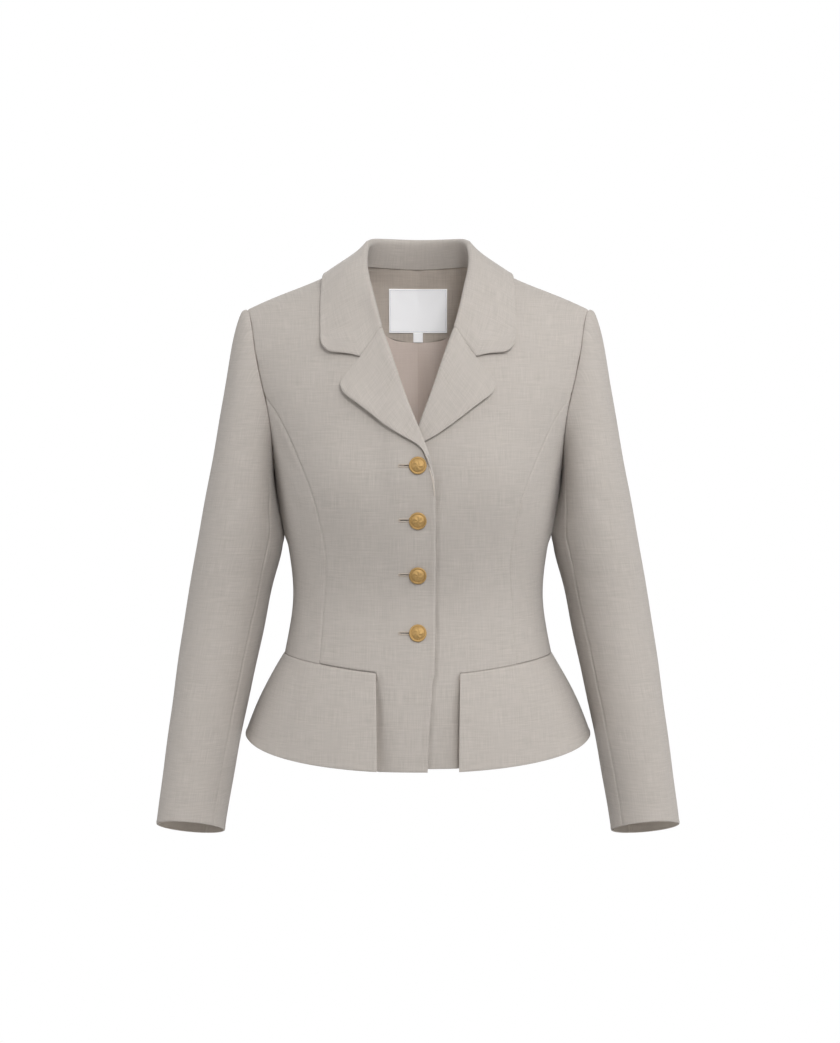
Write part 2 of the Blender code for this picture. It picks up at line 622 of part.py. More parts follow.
def collar_grid():
    """Rows round the neck from the right gorge to the left one, columns from the seam over the roll."""
    sections = []
    count = 2 * GORGE_COLUMNS
    for row in zip(*COLLAR.values()):
        seam_x, side, seam_z, roll_x, roll_y, roll_z, edge_x, edge_z, seat, radius = row
        at = locate(seam_x, seam_z, side > 0)
        seam, seam_out = body_point(*at), body_normal(*at)
        edge_at = locate(edge_x, edge_z, side > 0)
        edge_out = body_normal(*edge_at)
        edge = body_point(*edge_at) + edge_out * (COLLAR_WALL + COLLAR_CLEAR)
        roll = np.array([roll_x, roll_y, roll_z])
        inward = unit(seam - roll)
        outward = edge - roll + COLLAR_LEAN * edge_out
        outward = unit(outward - inward * (outward @ inward))
        foot = seam - inward * SEAM_PULL - outward * seat
        turn = turn_profile(roll, inward, outward, radius, foot)
        length = np.linalg.norm(edge - turn[-1])
        bend = turn[-1] + (inward * FALL_BEND + outward * FALL_BULGE) * length
        t = np.linspace(0, 1, count + 1)[1:, None]
        fall = (1 - t) ** 2 * turn[-1] + 2 * t * (1 - t) * bend + t * t * edge
        sections.append(np.concatenate([turn, fall]))
    sections.append(gorge_section())
    sections = np.array(sections)
    whole = np.concatenate([mirrored(sections[:0:-1]), sections])
    stations = np.arange(len(whole), dtype=float)
    grid = spline(np.linspace(0, stations[-1], COLLAR_STEPS * (len(sections) - 1) * 2 + 1), stations, whole)
    grid[:, TURN_STEPS + 2 :] = keep_clear(grid[:, TURN_STEPS + 2 :], COLLAR_WALL + COLLAR_CLEAR)
    return grid


def gorge_section():
    """The collar's front end: round the roll, down the gorge to the notch and out to the corner."""
    roll, inward, radius, setback = (values[-1] for values in lapel_rows())
    at = locate(*roll)
    point, out = body_point(*at), body_normal(*at)
    into = unit(body_point(*locate(*(roll + inward * ROLL_STEP))) - point)
    foot = point + into * (setback - 2 * SEAM_PULL) - out * SHELL_WALL
    turn = turn_profile(point + out * (radius - SHELL_WALL), into, out, radius, foot)
    start = roll + inward * radius
    gorge = run([start, NOTCH], GORGE_COLUMNS)
    flat = np.concatenate([gorge, run(rows_of(COLLAR_FRONT), GORGE_COLUMNS)[1:]])
    distance = np.linalg.norm(flat - start, axis=1)
    level = lapel_level(distance, radius, np.linspace(0, 1, len(flat)))
    face = on_body(locate(*flat.T), level)
    turn[-1] = face[0]
    return np.concatenate([turn, face[1:]])


# Grids to solids
def grid_normals(points):
    along = np.gradient(points, axis=1)
    up = np.gradient(points, axis=0)
    return unit(np.cross(along, up))


def inward_step(points, cells):
    """Unit steps from the border points into the piece, and nothing inside."""
    rows, columns = points.shape[:2]
    step = np.zeros(points.shape)
    used = np.zeros((rows + 1, columns + 1), bool)
    used[1:-1, 1:-1] = cells
    for r in range(rows):
        for c in range(columns):
            around = used[r : r + 2, c : c + 2]
            if around.all() or not around.any():
                continue
            to = np.zeros(3)
            for i, j in zip(*np.nonzero(around)):
                across = points[r - 1 + 2 * i, c] - points[r, c]
                along = points[r, c - 1 + 2 * j] - points[r, c]
                if not used[r + i, c + 1 - j]:
                    to = to + unit(along)
                if not used[r + 1 - i, c + j]:
                    to = to + unit(across)
            step[r, c] = unit(to) * math.sqrt(1 + (around.sum() == 1))
    return step


def solid(name, points, wall, material, cells=None, normals=None, pull=SEAM_PULL):
    """A closed wall: the grid, the grid moved in by the wall, and the rim between them."""
    rows, columns = points.shape[:2]
    if cells is None:
        cells = np.ones((rows - 1, columns - 1), bool)
    own = grid_normals(points)
    if normals is None:
        normals = own
    outer = points + inward_step(points, cells) * pull
    mitre = np.clip(1 / np.maximum((normals * own).sum(-1), TINY), 1, LONGEST_MITRE)
    inner = outer - normals * (wall * mitre)[..., None]
    size = rows * columns
    at = np.arange(size).reshape(rows, columns)
    faces, rim = [], {}
    for r, c in zip(*np.nonzero(cells)):
        loop = [at[r, c], at[r, c + 1], at[r + 1, c + 1], at[r + 1, c]]
        rising = np.linalg.norm(points[r + 1, c + 1] - points[r, c])
        falling = np.linalg.norm(points[r, c + 1] - points[r + 1, c])
        a, b, d, e = loop if rising <= falling else loop[1:] + loop[:1]
        for triangle in ([a, b, d], [a, d, e]):
            faces.append(triangle)
            faces.append([k + size for k in reversed(triangle)])
        for a, b in zip(loop, loop[1:] + loop[:1]):
            if (b, a) in rim:
                del rim[(b, a)]
            else:
                rim[(a, b)] = True
    faces += [[b, a, a + size, b + size] for a, b in rim]
    vertices = np.concatenate([outer.reshape(-1, 3), inner.reshape(-1, 3)])
    return mesh_object(name, vertices, faces, material)


def mesh_object(name, vertices, faces, material):
    """An object from points and faces. Points that no face uses are left out."""
    used = sorted({int(k) for face in faces for k in face})
    place = {k: i for i, k in enumerate(used)}
    mesh = bpy.data.meshes.new(name)
    points = [tuple(map(float, vertices[k])) for k in used]
    mesh.from_pydata(points, [], [[place[int(k)] for k in face] for face in faces])
    mesh.materials.append(material)
    mesh.update()
    made = bpy.data.objects.new(name, mesh)
    bpy.context.collection.objects.link(made)
    return made


def lathe(name, profile, centre, axis, material):
    """A solid turned about an axis. The profile starts and ends on it."""
    across = unit(np.cross(axis, np.array([0, 0, 1.0])))
    upright = np.cross(across, axis)
    turn = np.linspace(0, 2 * math.pi, BUTTON_SIDES, endpoint=False)
    vertices = [centre + axis * profile[0][1]]
    for radius, rise in profile[1:-1]:
        vertices += [
            centre + axis * rise + radius * (across * math.cos(a) + upright * math.sin(a)) for a in turn
        ]
    vertices.append(centre + axis * profile[-1][1])
    n, faces = BUTTON_SIDES, []
    last = len(vertices) - 1
    for k in range(n):
        after = (k + 1) % n
        faces.append([0, 1 + k, 1 + after])
        for ring in range(len(profile) - 3):
            low, high = 1 + ring * n, 1 + (ring + 1) * n
            faces.append([low + k, high + k, high + after, low + after])
        faces.append([last, last - n + after, last - n + k])
    return mesh_object(name, np.array(vertices), faces, material)


def material(name, colour, roughness, metallic=0.0):
    made = bpy.data.materials.new(name)
    made.use_nodes = True
    shader = made.node_tree.nodes["Principled BSDF"]
    shader.inputs["Base Color"].default_value = (*colour, 1)
    shader.inputs["Roughness"].default_value = roughness
    shader.inputs["Metallic"].default_value = metallic
    return made


for old in list(bpy.data.objects):
    bpy.data.objects.remove(old)
cloth = material("cloth", (0.46, 0.41, 0.36), 0.85)
lining = material("lining", (0.37, 0.29, 0.26), 0.6)
tape = material("tape", (0.74, 0.74, 0.77), 0.7)
metal = material("metal", (0.56, 0.38, 0.18), 0.32, 1.0)

# Shell pieces on the left, each with the columns running from the front round to the back
sleeve = sleeve_grid()
over_arm = np.concatenate([sleeve[:, UNDER_SEAM_COLUMN:-1], sleeve[:, : TOP_SEAM_COLUMN + 1]], 1)
under_arm = sleeve[:, TOP_SEAM_COLUMN : UNDER_SEAM_COLUMN + 1]
front_points, front_cells = front_panel(no_lift)
lapped_points, _ = front_panel(lap_lift, LAPPED_LONGER)
shell = {
    "front": (front_points, front_cells),
    "side_front": (on_body(side_front_domain), None),
    "side_back": (on_body(side_back_domain)[:, ::-1], None),
    "back": (on_body(back_domain)[:, ::-1], None),
    "peplum_front": (peplum(front_peplum_angles), None),
    "top_sleeve": (over_arm[::-1, ::-1], None),
    "under_sleeve": (under_arm[::-1, ::-1], None),
}
peplum_half = peplum(back_peplum_angles)
peplum_back = np.concatenate([peplum_half, mirrored(peplum_half)[:, -2::-1]], 1)


def shared_normals(pieces):
    """Normals of each piece, the same for all pieces that meet at a point without folding back."""
    sums, own = {}, {}
    for name, (points, cells) in pieces.items():
        own[name] = grid_normals(points)
        for point, normal in zip(points.reshape(-1, 3), own[name].reshape(-1, 3)):
            sums.setdefault(tuple(np.round(point / SHARED_WITHIN)), []).append(normal)
    shared = {}
    for name, (points, cells) in pieces.items():
        keys = [tuple(np.round(p / SHARED_WITHIN)) for p in points.reshape(-1, 3)]
        mean = unit(np.array([np.sum(sums[k], 0) for k in keys]).reshape(points.shape))
        mean[np.abs(points[..., 0]) < SHARED_WITHIN, 0] = 0
        mean = unit(mean)
        kept = (mean * own[name]).sum(-1, keepdims=True) > LEAST_SHARED_COSINE
        shared[name] = np.where(kept, mean, own[name])
    return shared


halves = dict(shell, peplum_back=(peplum_back, None))
normals = shared_normals(halves)
normals["front"][-1, :-1] = body_normal(front_domain[-1, :-1, 0], front_domain[-1, :-1, 1])
ridge = back_domain[-1, :-1][::-1]
normals["back"][-1, 1:] = body_normal(ridge[:, 0], ridge[:, 1])
for name, (points, cells) in shell.items():
    solid(f"{name}_left", points, SHELL_WALL, cloth, cells, normals[name])
    placed = lapped_points if name == "front" else points
    flipped = None if cells is None else cells[:, ::-1]
    other_normals = mirrored(normals[name])[:, ::-1]
    solid(f"{name}_right", mirrored(placed)[:, ::-1], SHELL_WALL, cloth, flipped, other_normals)
solid("peplum_back", peplum_back, SHELL_WALL, cloth)

# Collar and lapels
solid("lapel_left", lapel_grid(no_lift), LAPEL_WALL, cloth)
solid("lapel_right", mirrored(lapel_grid(lap_lift))[:, ::-1], LAPEL_WALL, cloth)
solid("collar", collar_grid()[::-1], COLLAR_WALL, cloth)

# Facing, lining, label and tab, made from the centre back's own points moved in
FACING_LEVEL = -(SHELL_WALL + LINING_GAP)
LABEL_LEVEL = -(LINING_WALL + LABEL_GAP)


def inside(points, bisector, level):
    """A function from column and row of a grid to points at a level inside it."""
    mitre = np.clip(1 / np.maximum((bisector * grid_normals(points)).sum(-1), TINY), 1, LONGEST_MITRE)
    moved = points + bisector * (level * mitre)[..., None]

    def at(column, row):
        c = np.clip(np.floor(column).astype(int), 0, moved.shape[1] - 2)
        r = np.clip(np.floor(row).astype(int), 0, moved.shape[0] - 2)
        u, v = (column - c)[..., None], (row - r)[..., None]
        low = moved[r, c] * (1 - u) + moved[r, c + 1] * u
        high = moved[r + 1, c] * (1 - u) + moved[r + 1, c + 1] * u
        return low * (1 - v) + high * v

    return at


def both_halves(half):
    """A patch from the left edge over the centre back to the right edge."""
    return np.concatenate([half[:, ::-1], mirrored(half)[:, 1:]], 1)


TOP_ROW = BODY_ROWS + YOKE_ROWS
back_inside = inside(shell["back"][0], normals["back"], FACING_LEVEL)
foot_line = run(np.stack([FACING_FOOT["column"], FACING_FOOT["row"]], 1), FACING_STEPS)
foot_column, foot_row = foot_line.T
neck_start = np.array([FACING_NECK_COLUMN, BODY_ROWS - FACING_NECK_DROP])
neck_end = np.array([FACING_NECK_COLUMN, TOP_ROW - FACING_END_DROP])
neck_line = np.linspace(neck_start, neck_end, FACING_STEPS + 1)
neck_line[0, 0] = 0
facing_sides = [np.linspace(foot_line[k], neck_line[k], FACING_ROWS + 1) for k in (0, -1)]
facing_places = coons(foot_line, neck_line, *facing_sides)
facing = both_halves(back_inside(BACK_COLUMNS - facing_places[..., 0], facing_places[..., 1]))
solid("back_neck_facing", facing, LINING_WALL, cloth)

near = foot_column <= LINING_TURN_COLUMN
beyond = np.append(np.arange(LINING_TURN_COLUMN + 1, BACK_COLUMNS), LINING_LAST_COLUMN)
lining_columns = np.concatenate([foot_column[near], beyond])
lining_top = np.interp(lining_columns, foot_column[near], foot_row[near] - LINING_BELOW_FACING)
whole_rows = np.arange(1.0, math.floor(foot_row[0]))
lining_rows = [np.full(len(lining_columns), row) for row in [LINING_FIRST_ROW, *whole_rows]]
lining_rows += [lining_rows[-1] + (lining_top - lining_rows[-1]) * share for share in (0.5, 1)]
lining_columns = np.repeat(BACK_COLUMNS - lining_columns[None], len(lining_rows), 0)
lining_points = back_inside(lining_columns, np.array(lining_rows))[:, ::-1]
solid("lining_back_left", lining_points, LINING_WALL, lining)
solid("lining_back_right", mirrored(lining_points)[:, ::-1], LINING_WALL, lining)
facing_inside = inside(facing, grid_normals(facing), LABEL_LEVEL)


def label_patch(name, half, top, foot):
    """A rectangle on the facing, found by stepping to the column and row that show at each x and z."""
    x, z = np.meshgrid(np.linspace(half, -half, LABEL_COLUMNS + 1), np.linspace(foot, top, LABEL_ROWS + 1))
    place = np.stack([FACING_STEPS - x / FACING_COLUMN_WIDE, FACING_ROWS * (1 + z / FACING_HIGH)], -1)
    small = 1e-3
    for _ in range(SEARCH_PASSES):
        here = facing_inside(place[..., 0], place[..., 1])
        by_column = (facing_inside(place[..., 0] + small, place[..., 1]) - here)[..., ::2] / small
        by_row = (facing_inside(place[..., 0], place[..., 1] + small) - here)[..., ::2] / small
        wanted = np.stack([x, z], -1) - here[..., ::2]
        step = np.linalg.solve(np.stack([by_column, by_row], -1), wanted[..., None])[..., 0]
        place = place + LABEL_SHARE * np.clip(step, -1, 1)
    solid(name, facing_inside(place[..., 0], place[..., 1]), LINING_WALL, tape)


label_patch("label", LABEL_HALF, LABEL_TOP, LABEL_FOOT)
label_patch("size_tab", TAB_HALF, LABEL_FOOT, TAB_FOOT)


def slit_cutter(name, seat, axis):
    """A hidden block along the button's axis, as long and high as the buttonhole's slit."""
    low = (SLIT_FROM, -SLIT_DEEP / 2, -SLIT_HIGH / 2)
    high = (SLIT_TO, SLIT_DEEP / 2, SLIT_HIGH / 2)
    ends = list(zip(low, high))
    corners = np.array([[x, y, z] for z in ends[2] for y in ends[1] for x in ends[0]])
    across = np.array([1.0, 0, 0])
    frame = np.array([across, -axis, np.cross(axis, across)])
    box = [[0, 2, 3, 1], [4, 5, 7, 6], [0, 1, 5, 4], [2, 6, 7, 3], [0, 4, 6, 2], [1, 3, 7, 5]]
    cutter = mesh_object(name, corners @ frame + seat, box, cloth)
    cutter.hide_render = True
    cutter.display_type = "WIRE"
    return cutter


# Buttons, and the slits that their shanks pass through
lapped = bpy.data.objects["front_right"]
for number, z in enumerate(BUTTON_Z, 1):
    at = locate(0.0, z)
    axis, seat = body_normal(*at), body_point(*at)
    raised = float(lap_lift(0.0, z)) + BUTTON_STAND - LAYER_GAP
    profile = list(zip(BUTTON["radius"], BUTTON["rise"] + raised * BUTTON["over_lap"]))
    lathe(f"button_{number}", profile, seat + axis * LAYER_GAP, axis, metal)
    cut = lapped.modifiers.new(f"slit_{number}", "BOOLEAN")
    cut.operation = "DIFFERENCE"
    cut.solver = "EXACT"
    cut.object = slit_cutter(f"slit_{number}", seat, axis)
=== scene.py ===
# %% [markdown]
# # A cropped jacket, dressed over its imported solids
# The solids hold the cut of the garment. This lesson lays finer cloth over them. Each panel becomes a thin
# shell on the same form, with pressed seams, rounded edges and soft creases, and then gets its weave, its
# thread and its light. One could sculpt such a jacket by hand, but a script can be measured and run again.

# %% Load the frame
import math

import bpy
import numpy as np
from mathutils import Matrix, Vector


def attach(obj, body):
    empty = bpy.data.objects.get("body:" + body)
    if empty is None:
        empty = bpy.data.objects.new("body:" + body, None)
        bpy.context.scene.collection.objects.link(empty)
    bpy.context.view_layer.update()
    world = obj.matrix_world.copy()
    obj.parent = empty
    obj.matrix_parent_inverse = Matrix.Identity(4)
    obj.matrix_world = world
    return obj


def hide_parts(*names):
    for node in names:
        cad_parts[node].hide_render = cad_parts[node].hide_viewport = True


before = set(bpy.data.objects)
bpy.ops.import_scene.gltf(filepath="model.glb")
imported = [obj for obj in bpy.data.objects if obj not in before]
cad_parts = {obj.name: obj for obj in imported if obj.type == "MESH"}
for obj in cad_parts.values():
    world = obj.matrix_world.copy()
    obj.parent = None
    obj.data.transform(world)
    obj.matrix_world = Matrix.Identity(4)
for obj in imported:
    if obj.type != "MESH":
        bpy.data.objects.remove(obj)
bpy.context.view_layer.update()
print("solids to dress:", len(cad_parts))

# %% [markdown]
# ## Curves through a few measures
# A pattern maker writes down a few measures and draws a smooth line through them. A natural cubic spline
# does the same, so every form below starts from a short table with a row for each section.

# %% Tables and curves
FINE_STEPS = 400
TINY = 1e-9


def table(columns, *rows):
    """Columns of numbers by name, from one row for each section."""
    return dict(zip(columns.split(), np.array(rows, float).T))


def spline(at, knots, values):
    """Natural cubic spline through one row of values for each knot."""
    knots, values = np.asarray(knots, float), np.asarray(values, float)
    step = np.diff(knots)
    system, load = np.eye(len(knots)), np.zeros(values.shape)
    rise = (np.diff(values, axis=0).T / step).T
    for i in range(1, len(knots) - 1):
        system[i, i - 1 : i + 2] = step[i - 1], 2 * (step[i - 1] + step[i]), step[i]
        load[i] = 6 * (rise[i] - rise[i - 1])
    bend = np.linalg.solve(system, load.reshape(len(knots), -1)).reshape(values.shape)
    at = np.asarray(at, float)
    i = np.clip(np.searchsorted(knots, at) - 1, 0, len(step) - 1)
    shape = at.shape + (1,) * (values.ndim - 1)
    h = step[i].reshape(shape)
    a = (knots[i + 1] - at).reshape(shape) / h
    b = 1 - a
    return a * values[i] + b * values[i + 1] + ((a**3 - a) * bend[i] + (b**3 - b) * bend[i + 1]) * h * h / 6


def run(points, count):
    """count equal steps along a smooth curve through points."""
    points = np.asarray(points, float)
    along = np.concatenate([[0], np.cumsum(np.linalg.norm(np.diff(points, axis=0), axis=1))])
    fine = spline(np.linspace(0, along[-1], FINE_STEPS), along, points)
    length = np.concatenate([[0], np.cumsum(np.linalg.norm(np.diff(fine, axis=0), axis=1))])
    share = np.linspace(0, length[-1], count + 1)
    return np.stack([np.interp(share, length, fine[:, k]) for k in range(points.shape[1])], 1)


def rows_of(named):
    """The x and z columns of a table, as points."""
    return np.stack([named["x"], named["z"]], 1)


def smoothstep(low, high, value):
    """Rises softly from 0 at low to 1 at high."""
    t = np.clip((value - low) / (high - low), 0, 1)
    return t * t * (3 - 2 * t)


def unit(vectors):
    return vectors / np.maximum(np.linalg.norm(vectors, axis=-1, keepdims=True), TINY)


def mirrored(points):
    return points * np.array([-1.0, 1.0, 1.0])


bow = run([(-1, 0), (0, 1), (1, 0)], 2)
print("middle of a curve through three places:", np.round(bow[1], 3).tolist())

# %% [markdown]
# ## The form that the cut gives
# A fitted jacket is a set of level sections: how wide it is, how deep in front and how deep behind, at each
# height below the shoulder. The shoulders slope, and the princess seams make room for a soft bust line. A
# form could be sculpted instead, but sections can be checked with a tape measure. A point on the cloth is
# named by its angle round the body and the root of its drop below the shoulder line.

# %% Level sections of the body
TORSO = table(
    "drop half front back",
    (0.000, 0.2050, 0.000, 0.000),
    (0.004, 0.2050, 0.013, 0.036),
    (0.015, 0.2040, 0.029, 0.062),
    (0.035, 0.2020, 0.050, 0.080),
    (0.065, 0.1980, 0.074, 0.093),
    (0.100, 0.1910, 0.095, 0.102),
    (0.150, 0.1800, 0.117, 0.109),
    (0.200, 0.1690, 0.129, 0.112),
    (0.250, 0.1600, 0.133, 0.110),
    (0.320, 0.1480, 0.122, 0.100),
    (0.384, 0.1425, 0.110, 0.092),
    (0.443, 0.1520, 0.118, 0.103),
    (0.500, 0.1640, 0.127, 0.118),
    (0.570, 0.1750, 0.135, 0.128),
)


def section(root):
    """Half width, depth in front and depth behind, at a root of the drop."""
    knots = np.sqrt(TORSO["drop"])
    values = np.stack([TORSO["half"], TORSO["front"], TORSO["back"]], 1)
    return np.moveaxis(spline(np.clip(root, 0, knots[-1]), knots, values), -1, 0)


print("torso sections:", len(TORSO["drop"]))

# %% Points on the body
SHOULDER_SLOPE, SHOULDER_REACH = 0.47, 0.25
NECK_HALF, NECK_ROUND = 0.075, 0.030
SHOULDER_TIP, SQUARENESS = 0.1944, 0.10
HOLLOW, HOLLOW_STARTS, HOLLOW_ENDS = 0.0036, (0.075, 0.105), (0.120, 0.185)
BUST_OUT, BUST_DROP, BUST_RISE, BUST_WIDE, BUST_HIGH, BUST_FADE = 0.085, 0.245, 0.008, 0.045, 0.055, 0.3


def fall_of(x):
    """How far the shoulder line falls: a slope from the neck, and a hollow beside the collar."""
    hollow = smoothstep(*HOLLOW_STARTS, np.abs(x)) * (1 - smoothstep(*HOLLOW_ENDS, np.abs(x)))
    return SHOULDER_SLOPE * (np.hypot(x, NECK_ROUND) - math.hypot(NECK_HALF, NECK_ROUND)) + HOLLOW * hollow


def body_point(angle, root):
    """The outer face of the body, from the angle round it and the root of the drop below the shoulder."""
    half, front, back = section(root)
    side, ahead, drop = np.sin(angle), np.cos(angle), root * root
    x = half * side
    y = -np.where(ahead > 0, front, back) * ahead * (1 + SQUARENESS * side * side)
    bust = np.exp(-(((np.abs(x) - BUST_OUT) / BUST_WIDE) ** 2) - ((drop - BUST_DROP) / BUST_HIGH) ** 2)
    y = y - BUST_RISE * bust * smoothstep(0, BUST_FADE, ahead)
    z = -drop - fall_of(x) * (1 - smoothstep(0, SHOULDER_REACH, drop))
    return np.stack([x, y, z], -1)


def body_normal(angle, root):
    """The direction straight out of the body's outer face."""
    tiny = 1e-4
    round_it = body_point(angle + tiny, root) - body_point(angle - tiny, root)
    down = body_point(angle, root + tiny) - body_point(angle, np.maximum(root - tiny, 0))
    return unit(np.cross(down, round_it))


bust_depth = float(section(np.array(math.sqrt(BUST_DROP)))[1:].sum())
print("body depth at the bust:", round(bust_depth, 3), "m")

# %% From a drawn place to the body
SEARCH_PASSES = 60


def locate(x, z, back=False):
    """Angle and root of the body point that shows at x and z."""
    x, z = np.asarray(x, float), np.asarray(z, float)
    drop = np.maximum(-z, 0)
    for _ in range(SEARCH_PASSES):
        wanted = np.maximum(-z - fall_of(x) * (1 - smoothstep(0, SHOULDER_REACH, drop)), 0)
        drop = 0.5 * (drop + wanted)
    root = np.sqrt(drop)
    angle = np.arcsin(np.clip(x / section(root)[0], -1, 1))
    return np.stack([math.pi - angle if back else angle, root], -1)


def on_body(domain, level=0.0):
    """Points at a level above the body's outer face."""
    angle, root = domain[..., 0], domain[..., 1]
    return body_point(angle, root) + body_normal(angle, root) * np.asarray(level)[..., None]


def coons(bottom, top, left, right):
    """A grid of rows and columns inside four sides."""
    u = np.linspace(0, 1, len(bottom))[None, :, None]
    v = np.linspace(0, 1, len(left))[:, None, None]
    ruled = (1 - v) * bottom[None] + v * top[None] + (1 - u) * left[:, None] + u * right[:, None]
    corners = (1 - v) * ((1 - u) * bottom[0] + u * bottom[-1]) + v * ((1 - u) * top[0] + u * top[-1])
    return ruled - corners


bust_front = on_body(locate(0.0, -BUST_DROP))
print("the centre front at the bust lies", round(float(-bust_front[1]), 3), "m before the shoulder line")

# %% [markdown]
# ## Seams
# The seams are drawn as they show: across and up from the front, or from behind. The princess seams leave
# the armhole and run over the bust to the waist. The armhole itself is closed by a scoop under the arm.
# Curves could be projected on the form instead. Here each seam is a row of points, and the two panels that
# meet in it share them, so they fit.

# %% Seams as they show
PRINCESS_FRONT = table(
    "x z",
    (0.1090, -0.4450),
    (0.1035, -0.3770),
    (0.1025, -0.3200),
    (0.1060, -0.3000),
    (0.1135, -0.2660),
    (0.1330, -0.2180),
    (0.1540, -0.1750),
    (0.1720, -0.1490),
)
PRINCESS_BACK = table(
    "x z",
    (0.0850, -0.4450),
    (0.0800, -0.3900),
    (0.0830, -0.3500),
    (0.0950, -0.3000),
    (0.1220, -0.2350),
    (0.1500, -0.1850),
    (0.1720, -0.1500),
)
ARMHOLE_FRONT = table("x z", (0.1720, -0.1490), (0.1775, -0.1260), (0.1860, -0.0810))
ARMHOLE_BACK = table("x z", (0.1720, -0.1500), (0.1780, -0.1200), (0.1870, -0.0780))
print("princess seam in front runs down", round(float(np.ptp(PRINCESS_FRONT["z"])), 3), "m")

# %% Waist seam and scoop
SEAM_Z, SEAM_FRONT_DIP, SEAM_BACK_DIP, SEAM_END_DIP, SEAM_POWER = -0.443, 0.0125, 0.006, 0.004, 3
TAIL_COLUMNS, FRONT_COLUMNS, SIDE_COLUMNS, BACK_COLUMNS = 15, 30, 6, 8
BODY_ROWS, YOKE_ROWS, PEPLUM_ROWS, CAP_ROWS, SLEEVE_ROWS = 14, 6, 5, 7, 7
UNDERARM_DROP = 0.232


def seam_at(angle):
    """Waist seam: angle and root, so that the seam dips to the front."""
    angle = np.asarray(angle, float)
    ahead = np.cos(angle)
    z = SEAM_Z - np.where(ahead > 0, SEAM_FRONT_DIP, SEAM_BACK_DIP) * np.abs(ahead) ** SEAM_POWER
    return np.stack([angle, np.sqrt(-z)], -1)


def waist(first, last, count):
    """A stretch of the waist seam between two angles."""
    return seam_at(np.linspace(first, last, count + 1))


def scoop(start):
    """Lower armhole: from the princess seam down and round to the underarm."""
    turn = np.linspace(0, math.pi / 2, SIDE_COLUMNS + 1)
    angle = start[0] + (math.pi / 2 - start[0]) * (1 - np.cos(turn))
    return np.stack([angle, start[1] + (underarm_root - start[1]) * np.sin(turn)], 1)


# %% Seam lines of the left half
tip_angle = math.asin(SHOULDER_TIP / section(np.array(0.0))[0])
tip, back_tip = np.array([[tip_angle, 0.0]]), np.array([[math.pi - tip_angle, 0.0]])
front_seam_end = locate(PRINCESS_FRONT["x"][0], SEAM_Z - SEAM_END_DIP)[0]
back_seam_end = locate(PRINCESS_BACK["x"][0], SEAM_Z - SEAM_END_DIP, True)[0]
princess = locate(*run(rows_of(PRINCESS_FRONT), BODY_ROWS).T)
princess[0] = seam_at(front_seam_end)
princess_back = locate(*run(rows_of(PRINCESS_BACK), BODY_ROWS).T, True)
princess_back[0] = seam_at(back_seam_end)
armhole_front = run(np.concatenate([locate(*rows_of(ARMHOLE_FRONT).T), tip]), YOKE_ROWS)
armhole_back = run(np.concatenate([locate(*rows_of(ARMHOLE_BACK).T, True), back_tip]), YOKE_ROWS)
underarm_root = math.sqrt(UNDERARM_DROP)
scoop_front, scoop_back = scoop(armhole_front[0]), scoop(armhole_back[0])
side_root = np.linspace(math.sqrt(-SEAM_Z), underarm_root, BODY_ROWS + 1)
side_seam = np.stack([np.full(BODY_ROWS + 1, math.pi / 2), side_root], 1)
armhole_stations = len(armhole_front) + len(scoop_front)
print("princess seam:", len(princess), "stations; armhole:", armhole_stations, "stations")

# %% [markdown]
# ## The centre fronts
# Each front runs from the shoulder to the hem in one cut. Below the waist it goes on as a narrow tail, and
# the flared skirt piece laps over the tail's side. The right front lies over the left one, so it is lifted
# by one thickness of cloth near the closing, and a little more where it crosses the turned lapel. Both are
# laid out by one function, so they can't drift apart.

# %% Edges of the fronts
FRONT_EDGE = table(
    "x z",
    (-0.0105, -0.560),
    (-0.0130, -0.505),
    (-0.0160, -0.465),
    (-0.0180, -0.440),
    (-0.0190, -0.385),
    (-0.0190, -0.262),
)
NECK_EDGE = table(
    "x z",
    (-0.0190, -0.2620),
    (-0.0178, -0.2430),
    (-0.0125, -0.2290),
    (-0.0060, -0.2140),
    (0.0129, -0.1640),
    (0.0439, -0.0812),
)
NECK_SIDE = table("x z", (0.0439, -0.0812), (0.0545, -0.0550), (0.0685, -0.0145), (0.0750, 0.0))
TAIL = table(
    "below edge inset",
    (0.000, 0.0458, 0.0000),
    (0.006, 0.0456, 0.0026),
    (0.014, 0.0520, 0.0028),
    (0.032, 0.0570, 0.0026),
    (0.066, 0.0580, 0.0020),
    (0.1010, 0.0580, 0.0020),
)
print("front edge from hem to break:", round(float(np.ptp(FRONT_EDGE["z"])), 3), "m")

# %% Where the right front laps over
SHELL_WALL, LAYER_GAP = 0.0016, 0.0003
LAP_CLEAR, LAP_FADE, LAP_TOP = 0.021, 0.045, (-0.180, -0.140)
CROSSING, CROSSING_RISE = (-0.280, -0.240), 0.0034


def lap_lift(x, z):
    """How far the right front is raised where it laps over the left one."""
    across = 1 - smoothstep(LAP_CLEAR, LAP_FADE, x)
    below_neck = 1 - smoothstep(*LAP_TOP, z)
    return across * below_neck * (SHELL_WALL + LAYER_GAP + CROSSING_RISE * smoothstep(*CROSSING, z))


def no_lift(x, z):
    """The left front is not raised."""
    return np.zeros(np.shape(x))


print("lift at the closing:", round(float(lap_lift(0.0, SEAM_Z)), 4), "m")

